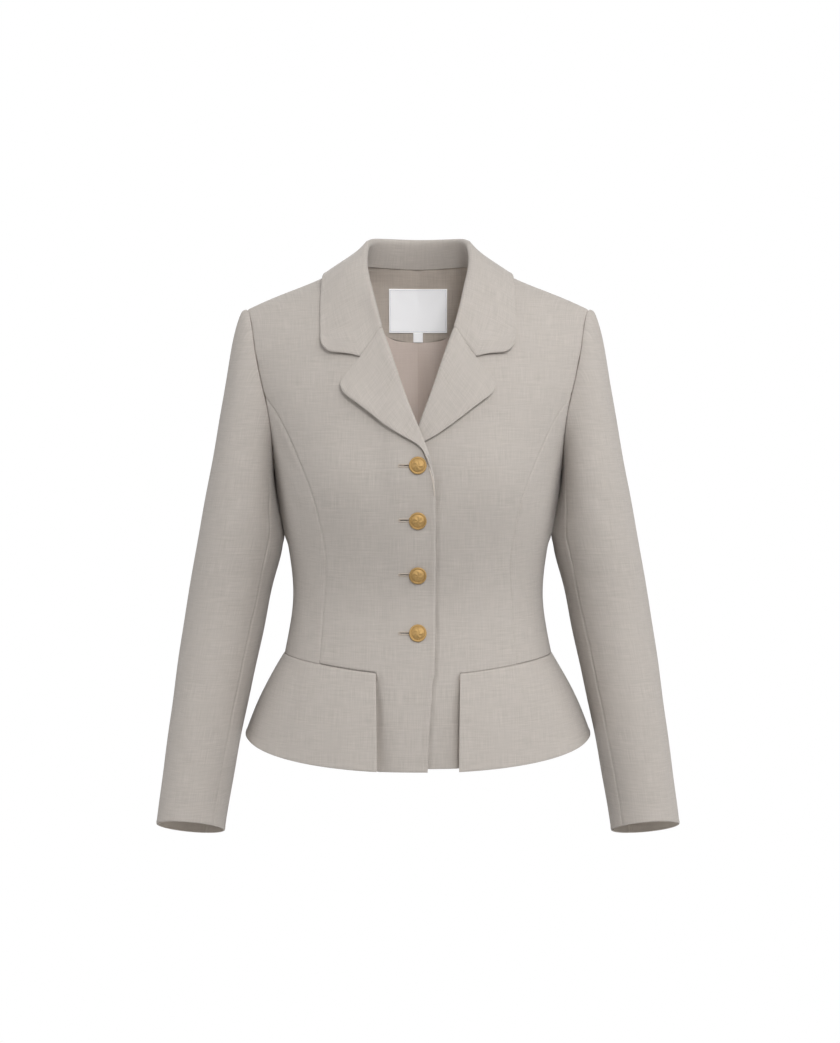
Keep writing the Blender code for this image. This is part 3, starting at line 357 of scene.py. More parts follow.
# %% Centre fronts
PEPLUM_EDGE_X, PEPLUM_EDGE_HEM_X = 0.046, 0.0445
TUCK_BETWEEN, LAPPED_LONGER = (0.0370, 0.0450), 0.0035
UNDERLAP_RISE, UNDERLAP_BETWEEN = 0.011, (0.0450, 0.0560)
BREAK_ROW, GORGE_ROW, WAIST_STATION = 8, 16, 3
seam_front_z = SEAM_Z - SEAM_FRONT_DIP
corner_angle = locate(PEPLUM_EDGE_X, seam_front_z)[0]
front_bottom = np.concatenate(
    [
        waist(locate(FRONT_EDGE["x"][WAIST_STATION], seam_front_z)[0], corner_angle, TAIL_COLUMNS),
        waist(corner_angle, front_seam_end, FRONT_COLUMNS - TAIL_COLUMNS)[1:],
    ]
)
upper_edge = rows_of(FRONT_EDGE)[WAIST_STATION:]
upper_edge[0, 1] = seam_front_z
front_side = np.concatenate(
    [
        locate(*run(upper_edge, BREAK_ROW).T),
        locate(*run(rows_of(NECK_EDGE), GORGE_ROW - BREAK_ROW).T)[1:],
        locate(*run(rows_of(NECK_SIDE), BODY_ROWS + YOKE_ROWS - GORGE_ROW).T)[1:],
    ]
)
neck_corner = np.array([math.asin(NECK_HALF / section(np.array(0.0))[0]), 0.0])
front_side[0], front_side[-1] = front_bottom[0], neck_corner
shoulder = np.linspace(neck_corner, tip[0], FRONT_COLUMNS + 1)
front_domain = coons(front_bottom, shoulder, front_side, np.concatenate([princess, armhole_front[1:]]))


def front_rows(lift, longer):
    """The tail's rows from the hem up, and the rows from the waist to the shoulder."""
    body = on_body(front_domain)
    upper = on_body(front_domain, lift(body[..., 0], body[..., 2]))
    share = np.linspace(0, 1, TAIL_COLUMNS + 1)
    tail = []
    for below, out, deep in list(zip(*TAIL.values()))[:0:-1]:
        below = below + longer * (below == TAIL["below"][-1])
        start = np.interp(seam_front_z - below, FRONT_EDGE["z"], FRONT_EDGE["x"])
        x = start + (out - start) * share
        rise = UNDERLAP_RISE * smoothstep(*UNDERLAP_BETWEEN, x) * below / TAIL["below"][-1]
        z = seam_front_z - below + rise
        tail.append(on_body(locate(x, z), lift(x, z) - deep * smoothstep(*TUCK_BETWEEN, x)))
    return np.array(tail), upper


print("front rows:", front_domain.shape[0], "and tail rows:", len(TAIL["below"]) - 1)

# %% [markdown]
# ## Sides, back and peplum
# The side panels fill the space between the princess seams and the underarm. The back has a centre seam,
# and the flared skirt piece, the peplum, hangs from the same waist points as the panels above it. One big
# surface could be cut into panels, but a patch between four sides has its own rows and columns, as woven
# cloth has its own threads.

# %% Sides and back
BACK_NECK_Z, NECK_POWER, NECK_STEPS = -0.005, 0.83, 13
NECK_ROOT, LOWEST_NECK_ROOT = 0.1, 0.3

side_front_grid = on_body(
    coons(waist(front_seam_end, math.pi / 2, SIDE_COLUMNS), scoop_front, princess, side_seam)
)
side_back_grid = on_body(
    coons(waist(back_seam_end, math.pi / 2, SIDE_COLUMNS), scoop_back, princess_back, side_seam)
)[:, ::-1]


def back_neck():
    """The seam line round the back of the neck, from the centre to the shoulder."""
    turn = np.linspace(0, math.pi / 2, NECK_STEPS + 1)
    depth = body_point(*locate(0.0, BACK_NECK_Z, True))[1]
    plan = np.stack([np.sin(turn), np.cos(turn)], 1) ** NECK_POWER * (NECK_HALF, depth)
    plan[-1] = NECK_HALF, 0
    x, y = run(plan, YOKE_ROWS).T
    angle = np.arcsin(x / section(np.array(NECK_ROOT))[0])
    depth = y / (np.cos(angle) * (1 + SQUARENESS * np.sin(angle) ** 2))
    roots = np.linspace(0, LOWEST_NECK_ROOT, FINE_STEPS)
    line = np.stack([math.pi - angle, np.interp(depth, section(roots)[2], roots)], 1)
    line[-1] = math.pi - neck_corner[0], 0.0
    return line


back_neck_line = back_neck()
centre_z = np.linspace(SEAM_Z - SEAM_BACK_DIP, BACK_NECK_Z, BODY_ROWS + 1)
centre_back = locate(np.zeros(BODY_ROWS + 1), centre_z, True)
centre_back[0], centre_back[-1] = seam_at(math.pi), back_neck_line[0]
back_domain = coons(
    waist(math.pi, back_seam_end, BACK_COLUMNS),
    np.linspace(back_neck_line[-1], back_tip[0], BACK_COLUMNS + 1),
    np.concatenate([centre_back, back_neck_line[1:]]),
    np.concatenate([princess_back, armhole_back[1:]]),
)[:, ::-1]
back_grid = on_body(back_domain)
print("back rows and columns:", back_grid.shape[:2])

# %% Peplum
HEM_Z, HEM_FRONT_DIP, HEM_BACK_DIP, HEM_ROUND = -0.536, 0.0225, 0.006, 0.15
HEM_HALF, HEM_FRONT, HEM_BACK, PEPLUM_BELL = 0.1977, 0.147, 0.148, 0.07


def peplum(angles):
    """Rows from the hem up to the waist seam, flaring out as they fall."""
    top = on_body(seam_at(angles))
    first = math.asin(PEPLUM_EDGE_HEM_X / HEM_HALF)
    opened = first + (angles - corner_angle) * (math.pi / 2 - first) / (math.pi / 2 - corner_angle)
    spread = np.where(angles < math.pi / 2, opened, angles)
    side, ahead = np.sin(spread), np.cos(spread)
    deep = np.where(ahead > 0, HEM_FRONT, HEM_BACK) * ahead * (1 + SQUARENESS * side**2)
    dip = np.where(ahead > 0, HEM_FRONT_DIP, HEM_BACK_DIP)
    reach = (np.hypot(ahead, HEM_ROUND) - HEM_ROUND) / (math.hypot(1, HEM_ROUND) - HEM_ROUND)
    drop = np.stack([HEM_HALF * side, -deep, HEM_Z - dip * reach], 1) - top
    share = np.linspace(1, 0, PEPLUM_ROWS + 1)[:, None]
    points = top + drop * (share + PEPLUM_BELL * np.sin(math.pi * share))[..., None]
    points[..., 2] = top[:, 2] + drop[:, 2] * share
    return points


side_angles = np.linspace(front_seam_end, math.pi / 2, SIDE_COLUMNS + 1)
peplum_front_grid = peplum(np.concatenate([front_bottom[TAIL_COLUMNS:, 0], side_angles[1:]]))
back_angles = np.linspace(math.pi / 2, back_seam_end, SIDE_COLUMNS + 1)
centre_angles = np.linspace(back_seam_end, math.pi, BACK_COLUMNS + 1)
peplum_half = peplum(np.concatenate([back_angles, centre_angles[1:]]))
peplum_back_grid = np.concatenate([peplum_half, mirrored(peplum_half)[:, -2::-1]], 1)
hem_steps = np.linalg.norm(np.diff(peplum_back_grid[0], axis=0), axis=1)
print("hem round the back:", round(float(hem_steps.sum()), 3), "m")

# %% [markdown]
# ## Two-piece sleeves
# A tailored sleeve is a bent tube: rings on an axis that swings forward below the elbow. The cap leaves the
# armhole nearly level at the shoulder tip and turns down, and under the arm it runs straight to the ring.
# A tube swept along a curve is quicker, but rings can be tilted one by one and fitted to the armhole.

# %% Sleeve rings
SLEEVE = table(
    "z x y wide deep forward aside",
    (-0.316, 0.2025, 0.002, 0.0485, 0.061, 2.0, 0.0),
    (-0.405, 0.2200, 0.004, 0.0460, 0.057, 4.0, 1.5),
    (-0.494, 0.2357, -0.009, 0.0428, 0.052, 9.0, 3.0),
    (-0.566, 0.2466, -0.024, 0.0400, 0.047, 14.0, 4.0),
    (-0.638, 0.2563, -0.042, 0.0383, 0.043, 19.0, 4.5),
)
armhole_loop = np.concatenate(
    [
        on_body(armhole_front)[::-1],
        on_body(scoop_front)[1:],
        on_body(scoop_back)[::-1][1:],
        on_body(armhole_back)[1:],
    ]
)


def loop_turns():
    """Angle round the sleeve of each armhole point: nothing at the tip, half a turn under the arm."""
    steps = np.linalg.norm(np.diff(armhole_loop, axis=0), axis=1)
    half = YOKE_ROWS + SIDE_COLUMNS
    front, back = np.cumsum(steps[:half]), np.cumsum(steps[half:])
    return np.concatenate([[0], math.pi * front / front[-1], math.pi + math.pi * back / back[-1]])


def sleeve_ring(z, turn):
    """Points round the sleeve at each height of its axis."""
    z, turn = np.asarray(z, float), np.asarray(turn, float)
    x, y, wide, deep, forward, aside = (spline(-z, -SLEEVE["z"], SLEEVE[k]) for k in list(SLEEVE)[1:])
    forward, aside, nought = np.radians(forward), np.radians(aside), np.zeros(z.shape)
    across = np.stack([np.cos(aside), nought, np.sin(aside)], -1)
    ahead = np.stack([nought, -np.cos(forward), np.sin(forward)], -1)
    round_it = across * (wide * np.cos(turn))[..., None] + ahead * (deep * np.sin(turn))[..., None]
    return np.stack([x, y, z], -1) + round_it


loop_steps = np.linalg.norm(np.diff(armhole_loop, axis=0), axis=1)
print("round the armhole:", round(float(loop_steps.sum()), 3), "m")

# %% Sleeves
TOP_SEAM_COLUMN, UNDER_SEAM_COLUMN = 9, 17
CAP_LEAVE, CAP_LEAVE_SIDE, CAP_FORWARD = 0.014, 0.006, 0.25
CAP_ARRIVE, CAP_ARRIVE_TOP, CAP_SPACING = 0.45, 0.28, 1.25
UNDER_SIDE, UNDER_LEAVE, UNDER_OUT, UNDERARM_CLEAR = (0.55, 0.95), 0.3, 0.003, 0.0005


def sleeve_grid():
    """Rows from the armhole to the cuff, columns round the arm from the tip forward."""
    turn = loop_turns()
    z = np.linspace(SLEEVE["z"][0], SLEEVE["z"][-1], SLEEVE_ROWS + 1)
    rings = sleeve_ring(*np.meshgrid(z, turn, indexing="ij"))
    middle = [sleeve_ring(z[k], np.array([0, math.pi])).mean(0) for k in (0, 1)]
    down = unit(middle[1] - middle[0])
    share, swing = ((1 - np.cos(turn)) / 2)[:, None], np.sin(turn)[:, None]
    leave = unit((1 - share) * (1.0, 0, 0) + share * down + CAP_FORWARD * swing * (0, -1.0, 0))
    start = armhole_loop + np.array([1.0, 0, 0]) * UNDERARM_CLEAR * share**2
    reach = np.linalg.norm(rings[0] - start, axis=1)[:, None]
    straight = unit(rings[0] - start)
    under = smoothstep(*UNDER_SIDE, share)
    first = start + leave * (CAP_LEAVE + CAP_LEAVE_SIDE * swing**2) * (1 - under)
    first = first + (straight * UNDER_LEAVE * reach + np.array([UNDER_OUT, 0, 0])) * under
    along = unit(down * (1 - under) + straight * under)
    over = np.maximum(np.cos(turn), 0)[:, None]
    second = rings[0] - along * reach * (CAP_ARRIVE + CAP_ARRIVE_TOP * over**2)
    t = np.linspace(0, 1, CAP_ROWS + 1)[:-1, None, None] ** CAP_SPACING
    ends = (1 - t) ** 3 * start + t**3 * rings[0]
    cap = ends + 3 * (1 - t) ** 2 * t * first + 3 * (1 - t) * t**2 * second
    return np.concatenate([cap, rings])


sleeve = sleeve_grid()
over_arm = np.concatenate([sleeve[:, UNDER_SEAM_COLUMN:-1], sleeve[:, : TOP_SEAM_COLUMN + 1]], 1)
over_arm = over_arm[::-1, ::-1]
under_arm = sleeve[::-1, TOP_SEAM_COLUMN : UNDER_SEAM_COLUMN + 1][:, ::-1]
print("sleeve rings:", len(sleeve), "with", sleeve.shape[1], "points each")

# %% [markdown]
# ## Lapels and collar
# The lapel is the front's own edge turned back over a soft roll, and the collar stands up from the neck
# seam, rolls over and falls outward. Both are drawn as sections: a foot, half a circle round the roll and
# a face that settles on the cloth beneath. Where collar and lapel part, their edges leave the notch open.
# A flat sheet could be bent by a modifier, but drawn sections keep the roll round and the edge in its place.

# %% Lapel and collar lines
ROLL = table(
    "x z",
    (-0.0188, -0.2600),
    (-0.0178, -0.2440),
    (-0.0150, -0.2300),
    (-0.0117, -0.2188),
    (-0.0085, -0.2085),
    (0.0084, -0.1624),
    (0.0377, -0.0790),
)
LAPEL_EDGE = table(
    "x z",
    (-0.0180, -0.2600),
    (-0.0164, -0.2440),
    (-0.0142, -0.2350),
    (-0.0102, -0.2245),
    (-0.0058, -0.2135),
    (0.0010, -0.2062),
    (0.0132, -0.1992),
    (0.0281, -0.1900),
    (0.0479, -0.1755),
    (0.0694, -0.1590),
    (0.0800, -0.1490),
    (0.0826, -0.1420),
)
LAPEL_TOP = table("x z", (0.0622, -0.1107), (0.0714, -0.1223), (0.0806, -0.1352), (0.0826, -0.1420))
COLLAR_FRONT = table("x z", (0.0622, -0.1107), (0.0820, -0.1075), (0.0985, -0.1045), (0.1045, -0.0975))
NOTCH = (0.0622, -0.1107)
print("lapel from the break to the gorge:", round(float(np.ptp(ROLL["z"])), 3), "m")

# %% Lapels
LAPEL_ROWS, GORGE_COLUMNS, TURN_STEPS, COLLAR_STEPS = 36, 9, 8, 9
LAPEL_LEVEL, LAPEL_LIFT, SETTLE, ROLL_STEP = 0.0021, 0.0042, 0.012, 0.004
LAPEL_TURN_LOW, LAPEL_TURN_HIGH, LAPEL_TURN_GROWS = 0.0018, 0.0034, (0.4, 0.95)
BREAK_FLATTENS, BREAK_BY = 0.0009, 0.12
LAPEL_SETBACK = table("share setback", (0.0, 0.0018), (0.08, 0.0032), (0.25, 0.0040), (1.0, 0.0063))
LAPEL_TAPER = table(
    "z thinner sunk",
    (-0.2600, 0.0005, 0.0003),
    (-0.2440, 0.0003, 0.0006),
    (-0.2300, 0.0, 0.0016),
)
FOOT_PULL = 0.0002


def turn_profile(apex, inward, outward, radius, foot):
    """Visible points from the foot of the stand round the roll: foot, then half a circle."""
    middle = apex + inward * radius
    swing = np.linspace(0, math.pi, TURN_STEPS + 1)[:, None]
    circle = middle - radius * (inward * np.sin(swing) + outward * np.cos(swing))
    return np.concatenate([foot[None], circle])


def lapel_rows():
    """Roll line and its direction into the cloth, then the turn's radius, setback and depth.

    Last comes the share of the way up. Below the break the turn runs out as a thin roll on the front's edge.
    """
    roll = run(rows_of(ROLL), LAPEL_ROWS)
    ahead = unit(np.gradient(roll, axis=0))
    inward = np.stack([ahead[:, 1], -ahead[:, 0]], 1)
    share = np.linspace(0, 1, LAPEL_ROWS + 1)
    at_break = np.interp(LAPEL_TAPER["z"][-1], roll[:, 1], share)
    share = np.clip((share - at_break) / (1 - at_break), 0, 1)
    radius = LAPEL_TURN_LOW + (LAPEL_TURN_HIGH - LAPEL_TURN_LOW) * smoothstep(*LAPEL_TURN_GROWS, share)
    thinner, sunk = (np.interp(roll[:, 1], LAPEL_TAPER["z"], LAPEL_TAPER[k]) for k in ("thinner", "sunk"))
    radius = radius - BREAK_FLATTENS * (1 - smoothstep(0, BREAK_BY, share)) - thinner
    return roll, inward, radius, np.interp(share, *LAPEL_SETBACK.values()), sunk, share


def lapel_level(distance, start, share):
    """Height of the lapel's face above the front: it settles from the roll and lifts at the edge."""
    return LAPEL_LEVEL + (start - LAPEL_LEVEL) * np.exp(-distance / SETTLE) + LAPEL_LIFT * share**2


def roll_section(roll, inward, radius, setback, low):
    """The foot and the half circle of one section across the roll line."""
    at = locate(*roll)
    point, out = body_point(*at), body_normal(*at)
    into = unit(body_point(*locate(*(roll + inward * ROLL_STEP))) - point)
    foot = point + into * (setback - 2 * FOOT_PULL) + out * low
    return turn_profile(point + out * (low + radius), into, out, radius, foot)


def lapel_grid(lift):
    """Rows from the break up to the gorge, columns from the foot over the roll to the edge."""
    roll, inward, radius, setback, sunk, share = lapel_rows()
    start = roll + inward * radius[:, None]
    gorge = run([start[-1], NOTCH], GORGE_COLUMNS)
    top = np.concatenate([gorge, run(rows_of(LAPEL_TOP), GORGE_COLUMNS)[1:]])
    edge = run(rows_of(LAPEL_EDGE), LAPEL_ROWS)
    flat = coons(np.linspace(start[0], edge[0], len(top)), top, start, edge)
    distance = np.linalg.norm(flat - start[:, None], axis=2)
    reach = share[:, None] * np.linspace(0, 1, len(top))[None]
    level = lapel_level(distance, (2 * radius - sunk)[:, None], reach) + lift(flat[..., 0], flat[..., 1])
    face = on_body(locate(flat[..., 0], flat[..., 1]), level)
    rows = []
    for i in range(LAPEL_ROWS + 1):
        low = float(lift(*roll[i])) - sunk[i]
        turn = roll_section(roll[i], inward[i], radius[i], setback[i], low)
        rows.append(np.concatenate([turn[:-1], face[i]]))
    return np.array(rows)


print("lapel sections:", LAPEL_ROWS + 1)

# %% Nearest place on the body
SHOULDER_SECTIONS, HIGH_ROOT, LEAST_ROOT = 8, 0.22, 0.003
NEAREST_PASSES, NEAREST_SHARE, NEAREST_STEP = 12, 0.8, 0.1


def nearest_body(points):
    """Nearest body point to each point, and its normal, by repeated steps over the angle and root."""
    x, y, z = np.moveaxis(points, -1, 0)
    behind = y > 0
    low = np.where(behind[..., None], locate(x, z, True), locate(x, z))
    drop, front, back = (TORSO[k][:SHOULDER_SECTIONS] for k in ("drop", "front", "back"))
    by_depth = np.where(behind, np.interp(y, back, np.sqrt(drop)), np.interp(-y, front, np.sqrt(drop)))
    angle = np.arcsin(np.clip(x / section(by_depth)[0], -1, 1))
    high = np.stack([np.where(behind, math.pi - angle, angle), by_depth], -1)
    place = np.where((low[..., 1] < HIGH_ROOT)[..., None], high, low)
    tiny = 1e-4
    for _ in range(NEAREST_PASSES):
        angle, root = place[..., 0], place[..., 1]
        here = body_point(angle, root)
        moves = [(body_point(a, r) - here) / tiny for a, r in ((angle + tiny, root), (angle, root + tiny))]
        sums = np.stack([np.stack([(p * q).sum(-1) for q in moves], -1) for p in moves], -2)
        wanted = np.stack([((points - here) * p).sum(-1) for p in moves], -1)
        step = np.linalg.solve(sums + TINY * np.eye(2), wanted[..., None])[..., 0]
        place = place + NEAREST_SHARE * np.clip(step, -NEAREST_STEP, NEAREST_STEP)
        place[..., 1] = np.maximum(place[..., 1], LEAST_ROOT)
    return body_point(place[..., 0], place[..., 1]), body_normal(place[..., 0], place[..., 1])


def keep_clear(points, level):
    """Points moved out, where they would come nearer to the body than the level."""
    surface, normal = nearest_body(points)
    short = level - ((points - surface) * normal).sum(-1)
    return points + normal * np.maximum(short, 0)[..., None]


# %% Collar
COLLAR_WALL, COLLAR_CLEAR = 0.0020, 0.0012
COLLAR_LEAN, FALL_BEND, FALL_BULGE = 0.04, 0.4, 0.05
COLLAR = table(
    "seam_x side seam_z roll_x roll_y roll_z edge_x edge_z seat radius",
    (0.0000, 1, -0.0050, 0.0000, 0.0690, 0.0295, 0.0000, -0.0220, 0.0033, 0.0040),
    (0.0480, 1, -0.0030, 0.0400, 0.0500, 0.0290, 0.0600, -0.0235, 0.0033, 0.0040),
    (0.0690, 1, -0.0019, 0.0550, 0.0180, 0.0240, 0.0960, -0.0190, 0.0031, 0.0040),
    (0.0750, 0, 0.0000, 0.0568, -0.0070, 0.0087, 0.1065, -0.0185, 0.0026, 0.0039),
    (0.0685, -1, -0.0145, 0.0555, -0.0303, -0.0109, 0.1078, -0.0400, 0.0020, 0.0038),
    (0.0610, -1, -0.0370, 0.0505, -0.0553, -0.0328, 0.1080, -0.0615, 0.0016, 0.0036),
    (0.0545, -1, -0.0550, 0.0467, -0.0740, -0.0498, 0.1068, -0.0820, 0.0016, 0.0034),
)


def gorge_section():
    """The collar's front end: round the roll, down the gorge to the notch and out to the corner."""
    roll, inward, radius, setback, sunk, _ = (values[-1] for values in lapel_rows())
    turn = roll_section(roll, inward, radius, setback, -sunk)
    start = roll + inward * radius
    gorge = run([start, NOTCH], GORGE_COLUMNS)
    flat = np.concatenate([gorge, run(rows_of(COLLAR_FRONT), GORGE_COLUMNS)[1:]])
    distance, share = np.linalg.norm(flat - start, axis=1), np.linspace(0, 1, len(flat))
    level = lapel_level(distance, 2 * radius - sunk, share)
    return np.concatenate([turn[:-1], on_body(locate(*flat.T), level)])


def collar_section(seam_x, side, seam_z, roll_x, roll_y, roll_z, edge_x, edge_z, seat, radius):
    """One section of the collar: foot, roll and fall."""
    seam = body_point(*locate(seam_x, seam_z, side > 0))
    edge_at = locate(edge_x, edge_z, side > 0)
    edge_out = body_normal(*edge_at)
    edge = body_point(*edge_at) + edge_out * (COLLAR_WALL + COLLAR_CLEAR)
    roll = np.array([roll_x, roll_y, roll_z])
    inward = unit(seam - roll)
    outward = edge - roll + COLLAR_LEAN * edge_out
    outward = unit(outward - inward * (outward @ inward))
    turn = turn_profile(roll, inward, outward, radius, seam - inward * FOOT_PULL - outward * seat)
    length = np.linalg.norm(edge - turn[-1])
    bend = turn[-1] + (inward * FALL_BEND + outward * FALL_BULGE) * length
    t = np.linspace(0, 1, 2 * GORGE_COLUMNS + 1)[1:, None]
    fall = (1 - t) ** 2 * turn[-1] + 2 * t * (1 - t) * bend + t * t * edge
    return np.concatenate([turn, fall])


def collar_grid():
    """Rows round the neck from the left gorge to the right one, columns from the seam over the roll."""
    sections = np.array([collar_section(*row) for row in zip(*COLLAR.values())] + [gorge_section()])
    whole = np.concatenate([mirrored(sections[:0:-1]), sections])
    stations = np.arange(len(whole), dtype=float)
    grid = spline(np.linspace(0, stations[-1], COLLAR_STEPS * (len(whole) - 1) + 1), stations, whole)
    grid[:, TURN_STEPS + 2 :] = keep_clear(grid[:, TURN_STEPS + 2 :], COLLAR_WALL + COLLAR_CLEAR)
    return grid[::-1]


collar_points = collar_grid()
print("collar:", len(collar_points), "sections round the neck")

# %% [markdown]
# ## What shows inside the neck
# Behind the collar stand lies a facing of the outer cloth with a curved foot, then the lining, and on the
# facing a woven label with a small tab. They follow the back panel a little way inside it, so their points
# are found by column and row on the back's own grid.

# %% Layers inside a grid
LINING_WALL, LINING_GAP, LABEL_GAP = 0.0010, 0.0006, 0.0010
LONGEST_MITRE = 1.8


def grid_normals(points):
    """The direction straight out of a grid at each of its points."""
    return unit(np.cross(np.gradient(points, axis=1), np.gradient(points, axis=0)))


def inside(points, level, bisector=None):
    """A function from column and row of a grid to points at a level inside it."""
    own = grid_normals(points)
    bisector = own if bisector is None else bisector
    mitre = np.clip(1 / np.maximum((bisector * own).sum(-1), TINY), 1, LONGEST_MITRE)
    moved = points + bisector * (level * mitre)[..., None]

    def at(column, row):
        c = np.clip(np.floor(column).astype(int), 0, moved.shape[1] - 2)
        r = np.clip(np.floor(row).astype(int), 0, moved.shape[0] - 2)
        u, v = (column - c)[..., None], (row - r)[..., None]
        low = moved[r, c] * (1 - u) + moved[r, c + 1] * u
        high = moved[r + 1, c] * (1 - u) + moved[r + 1, c + 1] * u
        return low * (1 - v) + high * v

    return at


def both_halves(half):
    """A patch from the left edge over the centre back to the right edge."""
    return np.concatenate([half[:, ::-1], mirrored(half)[:, 1:]], 1)


def turned_in(points, wall):
    """The face of an inside piece that shows, seen from inside the garment."""
    return (points - grid_normals(points) * wall)[:, ::-1]


# %% Facing and lining
FACING_STEPS, FACING_ROWS, FACING_FREE, FACING_BEHIND = 12, 5, (0.058, 0.072), (0.0004, 0.0012)
FACING_NECK_COLUMN, FACING_NECK_DROP, FACING_END_DROP = 0.02, 0.005, 0.2
FACING_FOOT = table("column row", (0.0, 11.37), (1.0, 11.9), (2.0, 13.0), (2.7, 15.4), (3.0, 19.8))
LINING_FIRST_ROW, LINING_BELOW_FACING, LINING_TURN_COLUMN, LINING_LAST_COLUMN = 0.3, 0.01, 2, 7.6


def facing_grid():
    """The facing from its curved foot up to the neck seam."""
    neck_start = np.array([FACING_NECK_COLUMN, BODY_ROWS - FACING_NECK_DROP])
    neck_end = np.array([FACING_NECK_COLUMN, BODY_ROWS + YOKE_ROWS - FACING_END_DROP])
    neck_line = np.linspace(neck_start, neck_end, FACING_STEPS + 1)
    neck_line[0, 0] = 0
    sides = [np.linspace(foot_line[k], neck_line[k], FACING_ROWS + 1) for k in (0, -1)]
    place = coons(foot_line, neck_line, *sides)
    half = back_inside(BACK_COLUMNS - place[..., 0], place[..., 1])
    stand = collar_points[len(collar_points) // 2 :: -1, 0]
    stand = stand[: int(np.argmax(stand[:, 0]))]
    meet = np.stack([np.interp(half[-1, :, 0], stand[:, 0], stand[:, k]) for k in range(3)], 1)
    meet = meet + unit(meet * (1, 1, 0)) * (LINING_WALL + FACING_BEHIND[0]) + (0, 0, FACING_BEHIND[1])
    short = (meet - half[-1]) * (1 - smoothstep(*FACING_FREE, half[-1, :, :1]))
    share = np.linspace(0, 1, FACING_ROWS + 1)[:, None, None] ** 2
    return both_halves(half + short * share)


def lining_grid():
    """The left half of the lining that shows below the facing."""
    column, row = foot_line[foot_line[:, 0] <= LINING_TURN_COLUMN].T
    beyond = np.append(np.arange(LINING_TURN_COLUMN + 1, BACK_COLUMNS), LINING_LAST_COLUMN)
    columns = np.concatenate([column, beyond])
    top = np.interp(columns, column, row - LINING_BELOW_FACING)
    whole_rows = np.arange(1.0, math.floor(foot_line[0, 1]))
    rows = [np.full(len(columns), r) for r in [LINING_FIRST_ROW, *whole_rows]]
    rows += [rows[-1] + (top - rows[-1]) * share for share in (0.5, 1)]
    return back_inside(np.repeat(BACK_COLUMNS - columns[None], len(rows), 0), np.array(rows))[:, ::-1]


back_out = grid_normals(back_grid)
back_out[-1, 1:] = body_normal(back_domain[-1, 1:, 0], back_domain[-1, 1:, 1])
back_out[:, -1, 0] = 0
back_inside = inside(back_grid, -(SHELL_WALL + LINING_GAP), unit(back_out))
foot_line = run(np.stack([FACING_FOOT["column"], FACING_FOOT["row"]], 1), FACING_STEPS)
facing_points, lining_points = facing_grid(), lining_grid()
print("facing:", facing_points.shape[:2], "lining:", lining_points.shape[:2])

# %% Label
LABEL_HALF, LABEL_TOP, LABEL_FOOT, TAB_HALF, TAB_FOOT = 0.034, -0.0268, -0.0775, 0.0055, -0.0885
LABEL_COLUMNS, LABEL_ROWS, LABEL_SHARE = 12, 8, 0.4
FACING_COLUMN_WIDE, FACING_HIGH = 0.011, 0.09
facing_inside = inside(facing_points, -(LINING_WALL + LABEL_GAP))


def label_grid(half, top, foot):
    """A rectangle on the facing, found by stepping to the column and row that show at each x and z."""
    x, z = np.meshgrid(np.linspace(half, -half, LABEL_COLUMNS + 1), np.linspace(foot, top, LABEL_ROWS + 1))
    place = np.stack([FACING_STEPS - x / FACING_COLUMN_WIDE, FACING_ROWS * (1 + z / FACING_HIGH)], -1)
    small = 1e-3
    for _ in range(SEARCH_PASSES):
        here = facing_inside(place[..., 0], place[..., 1])
        by_column = (facing_inside(place[..., 0] + small, place[..., 1]) - here)[..., ::2] / small
        by_row = (facing_inside(place[..., 0], place[..., 1] + small) - here)[..., ::2] / small
        wanted = np.stack([x, z], -1) - here[..., ::2]
        step = np.linalg.solve(np.stack([by_column, by_row], -1), wanted[..., None])[..., 0]
        place = place + LABEL_SHARE * np.clip(step, -1, 1)
    return facing_inside(place[..., 0], place[..., 1])


print("label:", round(2 * LABEL_HALF, 3), "by", round(LABEL_TOP - LABEL_FOOT, 4), "m")

# %% [markdown]
# ## Weave and colour
# The cloth is a plain weave in a pale stone colour. Some of its threads are thicker for a few centimetres
# and then thin again. These slubs make the short light and dark strokes, across and down. The threads are
# drawn on a flat map in metres, so their size is true on each piece. A scanned texture would do too, but a
# pattern made of waves and noise can be set to any thread count.

# %% Helpers for shader nodes
# Sockets of the mix node: its factor, its two numbers and its two colours
MIX_FACTOR, MIX_NUMBERS, MIX_COLOURS, COLOUR_OUT = 0, (2, 3), (6, 7), 2


def add(tree, kind, inputs=(), **settings):
    """A node with its settings and inputs. An input is a value or another node's output."""
    made = tree.nodes.new(kind)
    for key, value in settings.items():
        setattr(made, key, value)
    for key, value in dict(inputs).items():
        if isinstance(value, bpy.types.NodeSocket):
            tree.links.new(value, made.inputs[key])
        else:
            made.inputs[key].default_value = value
    return made


def maths(tree, operation, *values):
    """The result of a sum on values or other nodes' outputs."""
    return add(tree, "ShaderNodeMath", enumerate(values), operation=operation).outputs[0]


def blend(tree, factor, first, second):
    """A colour between two colours."""
    inputs = zip((MIX_FACTOR, *MIX_COLOURS), (factor, first, second))
    return add(tree, "ShaderNodeMix", inputs, data_type="RGBA").outputs[COLOUR_OUT]


def group(name, inputs, outputs):
    """An empty node group with named sockets, and its two end nodes."""
    tree = bpy.data.node_groups.new(name, "ShaderNodeTree")
    for label, kind in inputs.items():
        tree.interface.new_socket(label, in_out="INPUT", socket_type=kind)
    for label in outputs:
        tree.interface.new_socket(label, in_out="OUTPUT", socket_type="NodeSocketFloat")
    return tree, tree.nodes.new("NodeGroupInput").outputs, tree.nodes.new("NodeGroupOutput").inputs


def noise_on(tree, place, size, seed, detail=2.0):
    """Smooth noise between 0 and 1, stretched to a width and a height in metres."""
    scale = (1 / size[0], 1 / size[1], 1)
    turned = add(tree, "ShaderNodeMapping", {"Vector": place, "Location": (seed,) * 3, "Scale": scale})
    inputs = {"Vector": turned.outputs[0], "Scale": 1.0, "Detail": detail}
    return add(tree, "ShaderNodeTexNoise", inputs).outputs[0]


